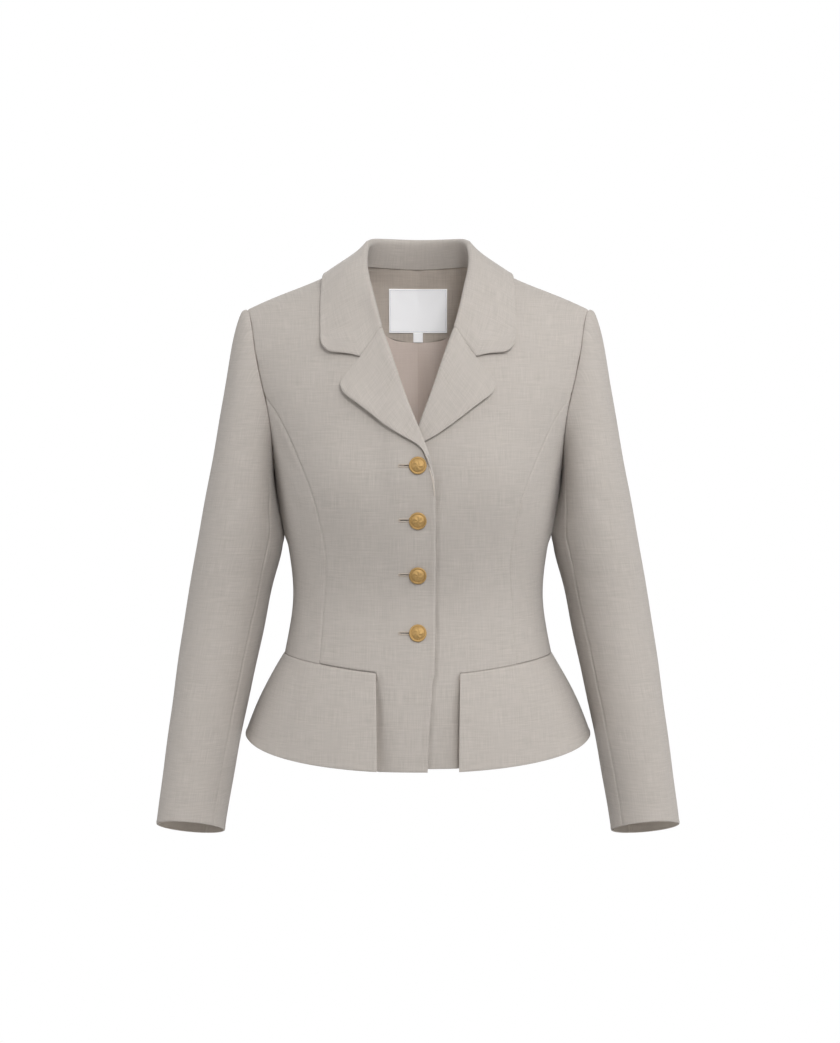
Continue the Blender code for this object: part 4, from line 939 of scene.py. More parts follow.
# %% Woven threads
WARP_SLUB, WEFT_SLUB, PATCH, BAND = (0.0009, 0.024), (0.020, 0.0009), (0.026, 0.026), (0.009, 0.050)
WARP_SEED, WEFT_SEED, PATCH_SEED, BAND_SEED = 3.1, 7.7, 12.3, 21.0
PATCH_GAIN, PATCH_LEAST, SLUB_RISE, MIDDLE_TONE = 2.4, 0.2, 0.6, 0.5


def woven():
    """Tone, tint and height of a plain weave with slubs, from a place on the flat map."""
    sockets = {"Place": "NodeSocketVector", "Thread": "NodeSocketFloat"}
    tree, given, out = group("woven", sockets, ("Tone", "Tint", "Height"))
    split = add(tree, "ShaderNodeSeparateXYZ", {0: given["Place"]}).outputs
    turns = maths(tree, "DIVIDE", math.pi, given["Thread"])
    warp, weft = (maths(tree, "SINE", maths(tree, "MULTIPLY", split[k], turns)) for k in (0, 1))
    over = maths(tree, "GREATER_THAN", maths(tree, "MULTIPLY", warp, weft), 0.0)
    ridges = [maths(tree, "ABSOLUTE", value) for value in (warp, weft)]
    inputs = zip((MIX_FACTOR, *MIX_NUMBERS), (over, *ridges[::-1]))
    height = add(tree, "ShaderNodeMix", inputs).outputs[0]
    slubs = (WARP_SLUB, WARP_SEED), (WEFT_SLUB, WEFT_SEED)
    strokes = [noise_on(tree, given["Place"], size, seed) for size, seed in slubs]
    stroke = maths(tree, "SUBTRACT", maths(tree, "ADD", *strokes), 1.0)
    patch = noise_on(tree, given["Place"], PATCH, PATCH_SEED)
    strong = maths(tree, "MULTIPLY", stroke, maths(tree, "MULTIPLY_ADD", patch, PATCH_GAIN, PATCH_LEAST))
    tree.links.new(maths(tree, "ADD", strong, MIDDLE_TONE), out["Tone"])
    bands = [noise_on(tree, given["Place"], size, BAND_SEED) for size in (BAND, BAND[::-1])]
    tree.links.new(maths(tree, "MULTIPLY", maths(tree, "ADD", *bands), 0.5), out["Tint"])
    tree.links.new(maths(tree, "MULTIPLY_ADD", strong, SLUB_RISE, height), out["Height"])
    return tree


weave_group = woven()
print("nodes in the weave group:", len(weave_group.nodes))

# %% Materials
THREAD = 0.0006
MAP, BUMP_HIGH, TINT_SHARE = "weave", 0.0002, 0.5


def cloth_material(name, dark, light, tint, roughness, sheen, bump, thread=THREAD):
    """Cloth whose colour runs between dark and light threads, and leans to a tint in bands."""
    made = bpy.data.materials.new(name)
    made.use_nodes = True
    tree = made.node_tree
    shader = tree.nodes["Principled BSDF"]
    place = add(tree, "ShaderNodeUVMap", uv_map=MAP).outputs[0]
    threads = add(tree, "ShaderNodeGroup", node_tree=weave_group)
    threads.inputs["Thread"].default_value = thread
    tree.links.new(place, threads.inputs["Place"])
    tone = blend(tree, threads.outputs["Tone"], (*dark, 1), (*light, 1))
    lean = maths(tree, "MULTIPLY", threads.outputs["Tint"], TINT_SHARE)
    tree.links.new(blend(tree, lean, tone, (*tint, 1)), shader.inputs["Base Color"])
    height = {"Height": threads.outputs["Height"], "Strength": bump, "Distance": BUMP_HIGH}
    tree.links.new(add(tree, "ShaderNodeBump", height).outputs[0], shader.inputs["Normal"])
    shader.inputs["Roughness"].default_value = roughness
    shader.inputs["Sheen Weight"].default_value = sheen
    return made


def metal_material(name, colour, roughness):
    """Plain metal, dull enough to show the stamped petals."""
    made = bpy.data.materials.new(name)
    made.use_nodes = True
    shader = made.node_tree.nodes["Principled BSDF"]
    shader.inputs["Base Color"].default_value = (*colour, 1)
    shader.inputs["Roughness"].default_value = roughness
    shader.inputs["Metallic"].default_value = 1.0
    return made


# %% Cloths, thread and metal
LINING_THREAD, TAPE_THREAD = 0.0003, 0.0004
# How strongly the label glows, and in what bluish white: painted light that lifts it out of the shade
LABEL_GLOW, LABEL_GLOW_TINT = 0.18, (0.90, 0.95, 1, 1)
CLOTH = cloth_material(
    "cloth",
    dark=(0.385, 0.35, 0.314),
    light=(0.505, 0.461, 0.417),
    tint=(0.44, 0.405, 0.385),
    roughness=0.85,
    sheen=0.15,
    bump=0.5,
)
# The facing's copy of the outer cloth is painted lighter and warmer: painted light for the shaded neck
# inside
INNER_PAINTED_LIGHTER = cloth_material(
    "inner_cloth_painted_lighter",
    dark=(0.46, 0.402, 0.348),
    light=(0.62, 0.55, 0.482),
    tint=(0.52, 0.463, 0.425),
    roughness=0.85,
    sheen=0.15,
    bump=0.5,
)
# The wrong side is the shell cloth painted much lighter: painted light for the shaded insides of sleeves and
# hems
WRONG_SIDE_PAINTED_LIGHTER = cloth_material(
    "wrong_side_painted_lighter",
    dark=(0.58, 0.52, 0.455),
    light=(0.70, 0.63, 0.56),
    tint=(0.63, 0.56, 0.50),
    roughness=0.9,
    sheen=0.1,
    bump=0.4,
)
LINING = cloth_material(
    "lining",
    dark=(0.66, 0.563, 0.51),
    light=(0.715, 0.615, 0.56),
    tint=(0.685, 0.588, 0.534),
    roughness=0.5,
    sheen=0.1,
    bump=0.1,
    thread=LINING_THREAD,
)
TAPE = cloth_material(
    "tape",
    dark=(0.92, 0.92, 0.94),
    light=(0.96, 0.96, 0.98),
    tint=(0.94, 0.94, 0.96),
    roughness=0.8,
    sheen=0.0,
    bump=0.1,
    thread=TAPE_THREAD,
)
STITCH = cloth_material(
    "thread",
    dark=(0.43, 0.372, 0.315),
    light=(0.49, 0.43, 0.368),
    tint=(0.46, 0.40, 0.34),
    roughness=0.8,
    sheen=0.1,
    bump=0.0,
)
GREY_STITCH = cloth_material(
    "label_thread",
    dark=(0.42, 0.43, 0.46),
    light=(0.48, 0.49, 0.52),
    tint=(0.45, 0.46, 0.49),
    roughness=0.8,
    sheen=0.0,
    bump=0.0,
)
# The label glows a little though it is no lamp: painted light that brightens it inside the shaded neck
glowing_label = TAPE.node_tree.nodes["Principled BSDF"].inputs
glowing_label["Emission Color"].default_value = LABEL_GLOW_TINT
glowing_label["Emission Strength"].default_value = LABEL_GLOW
GOLD = metal_material("metal", colour=(0.52, 0.35, 0.15), roughness=0.68)
looks = (CLOTH, INNER_PAINTED_LIGHTER, WRONG_SIDE_PAINTED_LIGHTER, LINING, TAPE, STITCH, GREY_STITCH, GOLD)
print("materials:", ", ".join(look.name for look in looks))

# %% [markdown]
# ## From a grid to a piece of cloth
# Each panel's grid is drawn again with closer lines, closest of all at its edges. Sewn edges sink a little
# towards the seam and pucker, free edges are round, and the sleeve head stands up as a small ridge. Beside
# the upper princess seam on the right, the cloth sinks in a wider band. Two faces, one cloth thickness
# apart, with a rim between them make a closed wall. The solidify modifier thickens a grid too, but here each
# edge can be worked in its own way.

# %% Closer lines
STEP = 0.0030
NEAR_EDGE = np.array([0.0004, 0.0009, 0.0015, 0.0022, 0.0030])


def lengths(points, axis):
    """How far each row or column of a grid lies from the first, measured along the cloth."""
    steps = np.linalg.norm(np.diff(points, axis=axis), axis=-1).mean(1 - axis)
    return np.concatenate([[0], np.cumsum(steps)])


def places(length, through=()):
    """Stations along a length: close together at both ends, and one exactly at each place given."""
    near = NEAR_EDGE[-1]
    count = max(2, round((length - 2 * near) / STEP))
    inner = np.linspace(near, length - near, count + 1)
    at = np.concatenate([[0], NEAR_EDGE[:-1], inner, length - NEAR_EDGE[-2::-1], [length]])
    for place in through:
        at[np.argmin(np.abs(at - place))] = place
    return at


def finer(points, corner=0):
    """The same surface with closer rows and columns. Its last column may turn a corner at one row."""
    up, across = lengths(points, 0), lengths(points, 1)
    stations = places(up[-1], up[corner : corner + 1])
    rows = spline(stations, up, points)
    below = stations <= up[corner]
    if corner:
        rows[below, -1] = spline(stations[below], up[: corner + 1], points[: corner + 1, -1])
    rows[~below, -1] = spline(stations[~below], up[corner:], points[corner:, -1])
    return spline(places(across[-1]), across, rows.swapaxes(0, 1)).swapaxes(0, 1)


def finer_front(lift, longer):
    """A centre front in closer lines, and which cells it has."""
    tail, upper = front_rows(lift, longer)
    strip = np.concatenate([tail, upper[:, : TAIL_COLUMNS + 1]])
    up, across = lengths(strip, 0), lengths(upper, 1)
    waist_at, corner_at = up[len(tail)], across[TAIL_COLUMNS]
    rows, columns = places(up[-1], [waist_at]), places(across[-1], [corner_at])
    seam, corner = int(np.argmin(np.abs(rows - waist_at))), int(np.argmin(np.abs(columns - corner_at)))
    upper_lines = spline(rows[seam:], up[len(tail) :], upper).swapaxes(0, 1)
    grid = np.empty((len(rows), len(columns), 3))
    grid[seam:] = spline(columns, across, upper_lines).swapaxes(0, 1)
    grid[:seam] = grid[seam]
    strip_lines = spline(rows[: seam + 1], up, strip).swapaxes(0, 1)
    narrow = spline(columns[: corner + 1], across[: TAIL_COLUMNS + 1], strip_lines)
    grid[: seam + 1, : corner + 1] = narrow.swapaxes(0, 1)
    cells = np.ones((len(rows) - 1, len(columns) - 1), bool)
    cells[:seam, corner:] = False
    return grid, cells


print("stations from the centre to the shoulder tip:", len(places(SHOULDER_TIP)))

# %% Ripples and creases
CREASE_FADE = 4
RIPPLE = table(
    "x y z high",
    (55.0, 21.0, 33.0, 0.00022),
    (-31.0, 47.0, 62.0, 0.00018),
    (78.0, -35.0, -24.0, 0.00014),
)


def ripple(points):
    """Slow unevenness of hanging cloth."""
    waves = np.stack([RIPPLE["x"], RIPPLE["y"], RIPPLE["z"]])
    return np.sin(points @ waves + np.arange(waves.shape[1])) @ RIPPLE["high"]


def creases_at(points, creases):
    """Height of the creases, each a soft trough or ridge between two places."""
    level = np.zeros(points.shape[:2])
    for start, end, wide, deep in creases:
        line = end - start
        t = np.clip((points - start) @ line / (line @ line), 0, 1)
        near = np.linalg.norm(points - start - t[..., None] * line, axis=-1)
        level += deep * np.exp(-((near / wide) ** 2)) * (1 - (2 * t - 1) ** CREASE_FADE)
    return level


print("ripples are up to", round(float(RIPPLE["high"].sum()), 5), "m high")

# %% Worked edges
PUCKER, PUCKER_LONG, LEVEL = 0.3, 0.009, (1, 1, 0)
# How deep and how wide each kind of edge sinks
DIPS = {
    "seam": (0.0008, 0.0017),
    "head": (0.0001, 0.0017),
    "waist": (0.0017, 0.0014),
    "swell": (0.0011, 0.0058),
}
# How high each kind of edge rises, how far in from the edge, and how wide
RIDGES = {
    "head": (0.0003, 0.0045, 0.0030),
    "free": (0.0003, 0.0026, 0.0016),
    "fold": (0.0010, 0.0026, 0.0022),
}


def edge_distances(points):
    """Distance along the cloth from each of the grid's four sides."""
    found = {}
    for axis, (low, high) in enumerate((("bottom", "top"), ("left", "right"))):
        steps = np.linalg.norm(np.diff(points, axis=axis), axis=-1)
        gone = np.insert(np.cumsum(steps, axis=axis), 0, 0, axis=axis)
        found[low], found[high] = gone, np.take(gone, [-1], axis=axis) - gone
    return found


def shaped(points, wall, edges, creases, pressed, lip):
    """Outer and inner face of a piece, with its edges worked and its creases laid in.

    A dip goes straight into the cloth. Only the waist seam is tucked in level, so that it stays shut.
    The lip is how far the inner face runs on under the next piece, on the left side.
    """
    out, near = grid_normals(points), edge_distances(points)
    level = ripple(points) + creases_at(points, creases) - pressed
    rim, tuck = np.zeros((2, *points.shape[:2]))
    half = wall / 2
    uneven = 1 + PUCKER * np.sin(points.sum(-1) / PUCKER_LONG) * np.sin(points[..., 2] / PUCKER_LONG)
    for side, kind, where in edges:
        gone = near[side]
        if kind in DIPS:
            deep, wide = DIPS[kind]
            dip = deep * uneven * np.exp(-((gone / wide) ** 2)) * where
            level, tuck = (level, tuck + dip) if kind == "waist" else (level - dip, tuck)
        else:
            round_off = half * (1 - np.sqrt(1 - (1 - np.minimum(gone / half, 1)) ** 2))
            rim = np.maximum(rim, round_off * (1 - TINY) * where)
        if kind in RIDGES:
            high, at, wide = RIDGES[kind]
            level += high * np.exp(-(((gone - at) / wide) ** 2)) * where
    tucked = points - unit(out * LEVEL) * tuck[..., None]
    inner = tucked + out * (level - wall + rim)[..., None]
    inner[:, 0] += unit(points[:, 0] - points[:, 1]) * np.reshape(lip, (-1, 1))
    return tucked + out * (level - rim)[..., None], inner


def edged(left="seam", right="seam", bottom="seam", top="seam"):
    """What each side of a piece is: seam, waist, head, free, cut, or nothing."""
    sides = {"left": left, "right": right, "bottom": bottom, "top": top}
    return [(side, kind, 1.0) for side, kind in sides.items() if kind]


print("edges that sink:", ", ".join(DIPS), "and edges that rise:", ", ".join(RIDGES))

# %% Threads on the flat cloth


def flat_map(points, threads):
    """Place of each point on the flat cloth, in metres.

    The threads run level and plumb from the piece's first edge, or level and along its columns (arm),
    or along and across that line (middle), or straight as seen from the front (level).
    """
    if threads == "level":
        return points[..., ::2]
    column = 0 if threads == "plumb" else points.shape[1] // 2
    steps = np.diff(points, axis=1)[..., : 3 if threads == "middle" else 2]
    across = np.insert(np.cumsum(np.linalg.norm(steps, axis=-1), axis=1), 0, 0, axis=1)
    line = points[:, column]
    up = np.insert(np.cumsum(np.linalg.norm(np.diff(line, axis=0), axis=-1)), 0, 0)
    if threads == "middle":
        lengthwise = np.repeat(up[:, None], across.shape[1], 1)
        return np.stack([across - across[:, column : column + 1], lengthwise], -1)
    order = np.argsort(line[:, 2])
    rise = np.interp(points[..., 2], line[order, 2], up[order])
    rise += np.maximum(points[..., 2] - line[:, 2].max(), 0)
    if threads == "arm":
        widest = across[len(across) // 2]
        return np.stack(np.broadcast_arrays(widest - widest[column], rise), -1)
    return np.stack([across + points[:, :1, 0] * np.sign(points[0, -1, 0] - points[0, 0, 0]), rise], -1)


# %% Closed walls
QUAD = 4


def mesh_piece(name, vertices, faces, materials, second_side=0, flat=None):
    """An object from points and four-sided faces. The last second_side faces get the second material."""
    used, index = np.unique(faces, return_inverse=True)
    index = index.reshape(faces.shape).astype(np.int32)
    mesh = bpy.data.meshes.new(name)
    mesh.vertices.add(len(used))
    mesh.vertices.foreach_set("co", vertices[used].astype(np.float32).ravel())
    mesh.loops.add(index.size)
    mesh.loops.foreach_set("vertex_index", index.ravel())
    mesh.polygons.add(len(index))
    mesh.polygons.foreach_set("loop_start", np.arange(0, index.size, QUAD, dtype=np.int32))
    side = np.zeros(len(index), np.int32)
    side[len(index) - second_side :] = second_side > 0
    mesh.polygons.foreach_set("material_index", side)
    mesh.polygons.foreach_set("use_smooth", np.ones(len(index), bool))
    for material in materials:
        mesh.materials.append(material)
    if flat is not None:
        layer = mesh.uv_layers.new(name=MAP)
        layer.data.foreach_set("uv", flat[used][index].astype(np.float32).ravel())
    mesh.update()
    mesh.validate()
    made = bpy.data.objects.new(name, mesh)
    bpy.context.collection.objects.link(made)
    return made


def quads(cells):
    """Corner numbers of the cells that a grid has."""
    r, c = np.nonzero(cells)
    wide = cells.shape[1] + 1
    low = r * wide + c
    return np.stack([low, low + 1, low + wide + 1, low + wide], 1)


def rim_of(faces, size):
    """Faces from the outer border to the inner one."""
    first, second = faces.ravel(), np.roll(faces, -1, axis=1).ravel()
    alone = ~np.isin(first * size + second, second * size + first)
    a, b = first[alone], second[alone]
    return np.stack([b, a, a + size, b + size], 1)


def piece(
    node,
    points,
    wall,
    edges,
    look,
    hangs,
    held="hung",
    creases=(),
    pressed=0.0,
    cells=None,
    threads="plumb",
    flip=False,
    lip=0.0,
):
    """A closed wall of cloth in the place of one solid.

    A flipped piece is set out on the wearer's left and mirrored at the end.
    """
    face, back, slot = look
    turn = np.array([-1.0, 1.0, 1.0]) if flip else np.ones(3)
    placed = [(start * turn, end * turn, wide, deep) for start, end, wide, deep in creases]
    outer, inner = shaped(points, wall, edges, placed, pressed, lip)
    size = points.shape[0] * points.shape[1]
    cells = np.ones((points.shape[0] - 1, points.shape[1] - 1), bool) if cells is None else cells
    front = quads(cells)
    faces = np.concatenate([front, rim_of(front, size), front[:, ::-1] + size])
    flat = flat_map(points, threads).reshape(-1, 2)
    vertices = np.concatenate([outer.reshape(-1, 3), inner.reshape(-1, 3)]) * turn
    if flip:
        faces = faces[:, ::-1]
    made = mesh_piece(f"{node}_piece", vertices, faces, [face, back], len(front), np.tile(flat, (2, 1)))
    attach(made, "root")
    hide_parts(node)
    return made


# %% [markdown]
# ## Where the cloth creases
# The jacket is pressed, so its creases are few and soft. They start where the cloth is pulled: below the
# armholes, at the waist, in the bend of the elbow, and where the peplum swings out. Each has its own length
# and depth, and left and right differ. The back gets the same kind as the front. A cloth simulation would
# find its own creases, but a pressed jacket keeps the shape of its cut, so these are placed one by one.

# %% Crease tables
BODY_CREASES = table(
    "back x z to_x to_z wide deep",
    (0, 0.158, -0.205, 0.120, -0.268, 0.0080, -0.0011),
    (0, 0.150, -0.232, 0.118, -0.300, 0.0090, -0.0007),
    (0, -0.156, -0.200, -0.122, -0.258, 0.0085, -0.0010),
    (0, -0.148, -0.238, -0.124, -0.290, 0.0080, -0.0006),
    (0, 0.062, -0.300, 0.056, -0.420, 0.0130, 0.0007),
    (0, -0.064, -0.310, -0.060, -0.432, 0.0120, 0.0006),
    (0, 0.092, -0.395, 0.040, -0.408, 0.0080, -0.0005),
    (0, -0.095, -0.400, -0.045, -0.388, 0.0085, -0.0006),
    (0, 0.128, -0.352, 0.112, -0.430, 0.0090, -0.0007),
    (0, -0.130, -0.360, -0.114, -0.425, 0.0085, -0.0006),
    (0, 0.120, -0.100, 0.152, -0.150, 0.0110, 0.0006),
    (0, -0.118, -0.108, -0.150, -0.152, 0.0100, 0.0006),
    (0, 0.165, -0.232, 0.165, -0.322, 0.0160, 0.0019),
    (0, 0.165, -0.248, 0.165, -0.318, 0.0160, 0.0015),
    (0, -0.165, -0.232, -0.165, -0.322, 0.0160, 0.0019),
    (0, -0.165, -0.248, -0.165, -0.318, 0.0160, 0.0015),
    (1, 0.160, -0.170, 0.110, -0.262, 0.0095, -0.0010),
    (1, -0.158, -0.178, -0.116, -0.250, 0.0090, -0.0009),
    (1, 0.085, -0.372, 0.020, -0.384, 0.0085, -0.0007),
    (1, -0.080, -0.362, -0.014, -0.372, 0.0085, -0.0008),
    (1, 0.060, -0.402, -0.030, -0.408, 0.0080, -0.0006),
    (1, 0.060, -0.070, 0.140, -0.120, 0.0120, 0.0006),
    (1, -0.062, -0.080, -0.138, -0.118, 0.0120, 0.0005),
)
SLEEVE_CREASES = table(
    "hand z turn to_z to_turn wide deep",
    (1, -0.250, 100, -0.300, 50, 0.0080, -0.0008),
    (1, -0.330, 150, -0.372, 95, 0.0080, -0.0008),
    (1, -0.395, 160, -0.420, 85, 0.0075, -0.0010),
    (1, -0.432, 155, -0.446, 100, 0.0070, -0.0008),
    (1, -0.470, 70, -0.560, 62, 0.0090, 0.0006),
    (1, -0.380, 255, -0.430, 330, 0.0085, -0.0009),
    (1, -0.250, 290, -0.330, 310, 0.0100, 0.0007),
    (1, -0.232, 180, -0.322, 180, 0.0160, 0.0019),
    (1, -0.248, 180, -0.318, 180, 0.0160, 0.0015),
    (-1, -0.232, 180, -0.322, 180, 0.0160, 0.0019),
    (-1, -0.248, 180, -0.318, 180, 0.0160, 0.0015),
    (-1, -0.246, 95, -0.310, 45, 0.0085, -0.0007),
    (-1, -0.340, 155, -0.366, 90, 0.0080, -0.0009),
    (-1, -0.402, 150, -0.436, 80, 0.0080, -0.0010),
    (-1, -0.450, 150, -0.455, 95, 0.0070, -0.0006),
    (-1, -0.480, 60, -0.575, 70, 0.0090, 0.0006),
    (-1, -0.390, 260, -0.440, 335, 0.0085, -0.0008),
    (-1, -0.260, 285, -0.345, 312, 0.0100, 0.0007),
)
PEPLUM_CREASES = table(
    "back x to_x high wide deep",
    (0, 0.078, 0.086, 0.9, 0.0110, 0.0012),
    (0, 0.132, 0.160, 0.9, 0.0120, -0.0011),
    (0, -0.074, -0.079, 0.8, 0.0110, 0.0010),
    (0, -0.126, -0.152, 0.9, 0.0110, -0.0012),
    (1, 0.040, 0.050, 0.9, 0.0120, 0.0013),
    (1, 0.095, 0.122, 0.9, 0.0120, -0.0012),
    (1, -0.050, -0.058, 0.9, 0.0120, 0.0012),
    (1, -0.104, -0.130, 0.9, 0.0120, -0.0012),
)
print("creases drawn:", sum(len(drawn["wide"]) for drawn in (BODY_CREASES, SLEEVE_CREASES, PEPLUM_CREASES)))

# %% Creases


def body_creases():
    """Creases between two places of the body, in front or behind."""
    found = []
    for back, x, z, to_x, to_z, wide, deep in zip(*BODY_CREASES.values()):
        start, end = (body_point(*locate(*place, back > 0)) for place in ((x, z), (to_x, to_z)))
        found.append((start, end, wide, deep))
    return found


def sleeve_creases():
    """Creases between two heights and turns of a sleeve, on the left arm (1) or the right one (-1)."""
    found = []
    for hand, z, turn, to_z, to_turn, wide, deep in zip(*SLEEVE_CREASES.values()):
        start, end = (sleeve_ring(a, math.radians(b)) for a, b in ((z, turn), (to_z, to_turn)))
        found.append((start * (hand, 1, 1), end * (hand, 1, 1), wide, deep))
    return found


def peplum_creases():
    """Flutes from the waist seam down, each on the peplum's own surface."""
    found = []
    for back, x, to_x, high, wide, deep in zip(*PEPLUM_CREASES.values()):
        rows = peplum_back_grid if back else peplum_front_grid
        ends = []
        for row, across in ((-1, abs(x)), (0, abs(to_x))):
            line = rows[row][rows[row][:, 0] > 0]
            order = np.argsort(line[:, 0])
            ends.append([np.interp(across, line[order, 0], line[order, k]) for k in range(3)])
        top, foot = np.array(ends) * (np.sign(x), 1, 1)
        found.append((foot + (top - foot) * high, foot, wide, deep))
    return found


body_folds, sleeve_folds, skirt_folds = body_creases(), sleeve_creases(), peplum_creases()
folds = {"body": body_folds, "sleeves": sleeve_folds, "peplum": skirt_folds}
print("creases:", {name: len(found) for name, found in folds.items()})

# %% [markdown]
# ## Shell pieces
# The left pieces are laid first and their mirror images follow. Only the right front is cut differently,
# because it laps over the left one. The hand of the sewer shows too: the waist seam is tucked deeper on one
# side, and the side panel swells beside one princess seam.

# %% Fronts
# Inside, the shell shows its wrong side, painted lighter as painted light in the shaded insides
SHELL = (CLOTH, WRONG_SIDE_PAINTED_LIGHTER, "cloth")
PRESS_DEEP, PRESS_WIDE, PRESS_OUT, FOLD_TOP = 0.0018, 0.0014, 0.0003, (-0.250, -0.226)


def lap_press(points):
    """The shallow trough that the right front's edge presses into the left front."""
    x, z = points[..., 0], points[..., 2]
    past = x + np.interp(z, FRONT_EDGE["z"], FRONT_EDGE["x"]) - PRESS_OUT
    return PRESS_DEEP * np.exp(-((past / PRESS_WIDE) ** 2)) * (1 - smoothstep(*FOLD_TOP, z))


points, cells = finer_front(no_lift, 0.0)
front_edges = edged(left="free", bottom="free")
extra = {"creases": body_folds, "cells": cells, "pressed": lap_press(points)}
piece("front_left", points, SHELL_WALL, front_edges, SHELL, ["back_left"], **extra)
points, cells = finer_front(lap_lift, LAPPED_LONGER)
folded = 1 - smoothstep(*FOLD_TOP, points[..., 2])
front_edges = [*edged(left="cut", bottom="free"), ("left", "fold", folded)]
extra = {"creases": body_folds, "cells": cells, "flip": True}
lapped = piece("front_right", points, SHELL_WALL, front_edges, SHELL, ["back_right"], **extra)

# %% Sides, backs, peplum and sleeves
SWELL_TOP, SWELLING = (-0.310, -0.215), {"left": 0.0, "right": 1.0}
ARMHOLE_LIP, WAIST_TUCK = 0.0006, {"left": 1.5, "right": 0.7}


def both_sides(node, points, edges, hangs, creases, threads="plumb", hands=("left", "right"), lip=0.0):
    """A piece on the wearer's left, and its mirror image on the right."""
    for hand in hands:
        hung = [f"{name}_{hand}" for name in hangs]
        extra = {"creases": creases, "threads": threads, "flip": hand == "right", "lip": lip}
        piece(f"{node}_{hand}", points, SHELL_WALL, edges, SHELL, hung, **extra)


over_peplum = edged(bottom="")
points = finer(side_front_grid)
upper = smoothstep(*SWELL_TOP, points[..., 2])
for hand, swelling in SWELLING.items():
    side_edges = [*over_peplum, ("left", "swell", upper * swelling)]
    both_sides("side_front", points, side_edges, ["front"], body_folds, hands=[hand])
both_sides("side_back", finer(side_back_grid), over_peplum, ["back"], body_folds)
points = finer(back_grid, BODY_ROWS)
lip = ARMHOLE_LIP * (points[:, 0, 2] > back_grid[BODY_ROWS, 0, 2])
both_sides("back", points, over_peplum, ["front"], body_folds, lip=lip)
points = finer(peplum_front_grid)
for hand, deeper in WAIST_TUCK.items():
    skirt_edges = [*edged(left="free", bottom="free", top=""), ("top", "waist", deeper)]
    both_sides("peplum_front", points, skirt_edges, ["front", "side_front"], skirt_folds, hands=[hand])
over_edges, under_edges = edged(bottom="free", top="head"), edged(bottom="free")
both_sides("top_sleeve", finer(over_arm), over_edges, ["front", "back"], sleeve_folds, "arm")
both_sides("under_sleeve", finer(under_arm), under_edges, ["side_front"], sleeve_folds, "arm")
on_backs = ["back_left", "back_right"]
hem_edges = edged(bottom="free", top="waist")
extra = {"creases": skirt_folds, "threads": "middle"}
piece("peplum_back", finer(peplum_back_grid), SHELL_WALL, hem_edges, SHELL, on_backs, **extra)

# %% [markdown]
# ## Turned pieces and the inside of the neck
# The lapels and the collar are folded back over the fronts and shoulders. Along the gorge they are sewn to
# each other, and past the notch their edges are free and stand a little off the cloth, so they cast a soft
# shadow. The facing, the lining and the label lie against the inside of the back, so the face that shows
# there is the one that looks forward. The lining has some ease, a soft fold on each side of its seam.

# %% Lapels and collar
LAPEL_WALL = 0.0016
# How wide and how high the free edges stand off the cloth
LAPEL_STAND = {"left": (0.013, 0.0034), "right": (0.014, 0.0044)}
COLLAR_STAND = (0.013, 0.0024)
STAND_FROM, COLLAR_PAST = 5, 0.5


def gorge_edges(points, sides, notch):
    """Edges of a turned piece: sewn along the gorge and free from the notch on."""
    found = [("right", "free", 1.0)]
    for side in sides:
        row = points[0] if side == "bottom" else points[-1]
        column = int(np.argmin(np.linalg.norm(row - notch * (np.sign(row[-1, 0]), 1, 1), axis=-1)))
        past = np.arange(points.shape[1]) >= column
        found += [(side, "seam", 1.0 - past), (side, "free", 1.0 * past)]
    return found


notch_at = on_body(locate(*NOTCH))
for hand, grid in (("left", lapel_grid(no_lift)), ("right", lapel_grid(lap_lift))):
    points = finer(grid)
    turned = gorge_edges(points, ["top"], notch_at)
    side = (-1 if hand == "right" else 1, 1, 1)
    stands = points[len(points) // STAND_FROM, -1] * side, points[-1, -1] * side, *LAPEL_STAND[hand]
    extra = {"threads": "middle", "flip": hand == "right", "creases": [stands]}
    piece(f"lapel_{hand}", points, LAPEL_WALL, turned, SHELL, [f"front_{hand}"], "folded", **extra)
points = finer(collar_points)
turned = gorge_edges(points, ["bottom", "top"], notch_at)
collar_stands = []
for end in (0, -1):
    gorge_end, corner = points[end, points.shape[1] // 2], points[end, -1]
    collar_stands.append((gorge_end, corner + (corner - gorge_end) * COLLAR_PAST, *COLLAR_STAND))
extra = {"threads": "middle", "creases": collar_stands}
piece("collar", points, COLLAR_WALL, turned, SHELL, on_backs, "folded", **extra)

# %% Facing, lining and label
# The facing wears the outer cloth painted lighter and warmer: painted light inside the neck
FACING, SATIN, WOVEN = (INNER_PAINTED_LIGHTER, WRONG_SIDE_PAINTED_LIGHTER, "cloth"), (LINING, LINING, "lining"), (TAPE, TAPE, "tape")
EASE_ASIDE, EASE_WIDE = {"left": 0.016, "right": -0.016}, 0.011
EASE_DEEP = {"left": 0.0085, "right": 0.0034}
facing_shown = finer(turned_in(facing_points, LINING_WALL))
facing_edges = edged("cut", "cut", "", "")
extra = {"held": "laid", "threads": "level"}
piece("back_neck_facing", facing_shown, LINING_WALL, facing_edges, FACING, on_backs, **extra)
lining_shown = finer(turned_in(lining_points, LINING_WALL))
lining_edges = edged("", "free", "free", "")
for hand, aside in EASE_ASIDE.items():
    ends = (lining_points[row, -1] + (aside, 0, 0) for row in (0, -1))
    own = {**extra, "creases": [(*ends, EASE_WIDE, EASE_DEEP[hand])], "flip": hand == "right"}
    piece(f"lining_back_{hand}", lining_shown, LINING_WALL, lining_edges, SATIN, [f"back_{hand}"], **own)
tape_edges = edged("cut", "cut", "cut", "cut")
tapes = {"label": (LABEL_HALF, LABEL_TOP, LABEL_FOOT), "size_tab": (TAB_HALF, LABEL_FOOT, TAB_FOOT)}
for node, size in tapes.items():
    points = finer(turned_in(label_grid(*size), LINING_WALL))
    piece(node, points, LINING_WALL, tape_edges, WOVEN, ["back_neck_facing"], **extra)

# %% [markdown]
# ## Buttons
# The buttons are stamped metal domes with a raised rim and a shank behind. The ornament here is a plain
# rosette with swirled petals. A turned profile gives the dome, and waves round it give the petals. One could
# be sculpted and copied, but then its size would be hard to change.

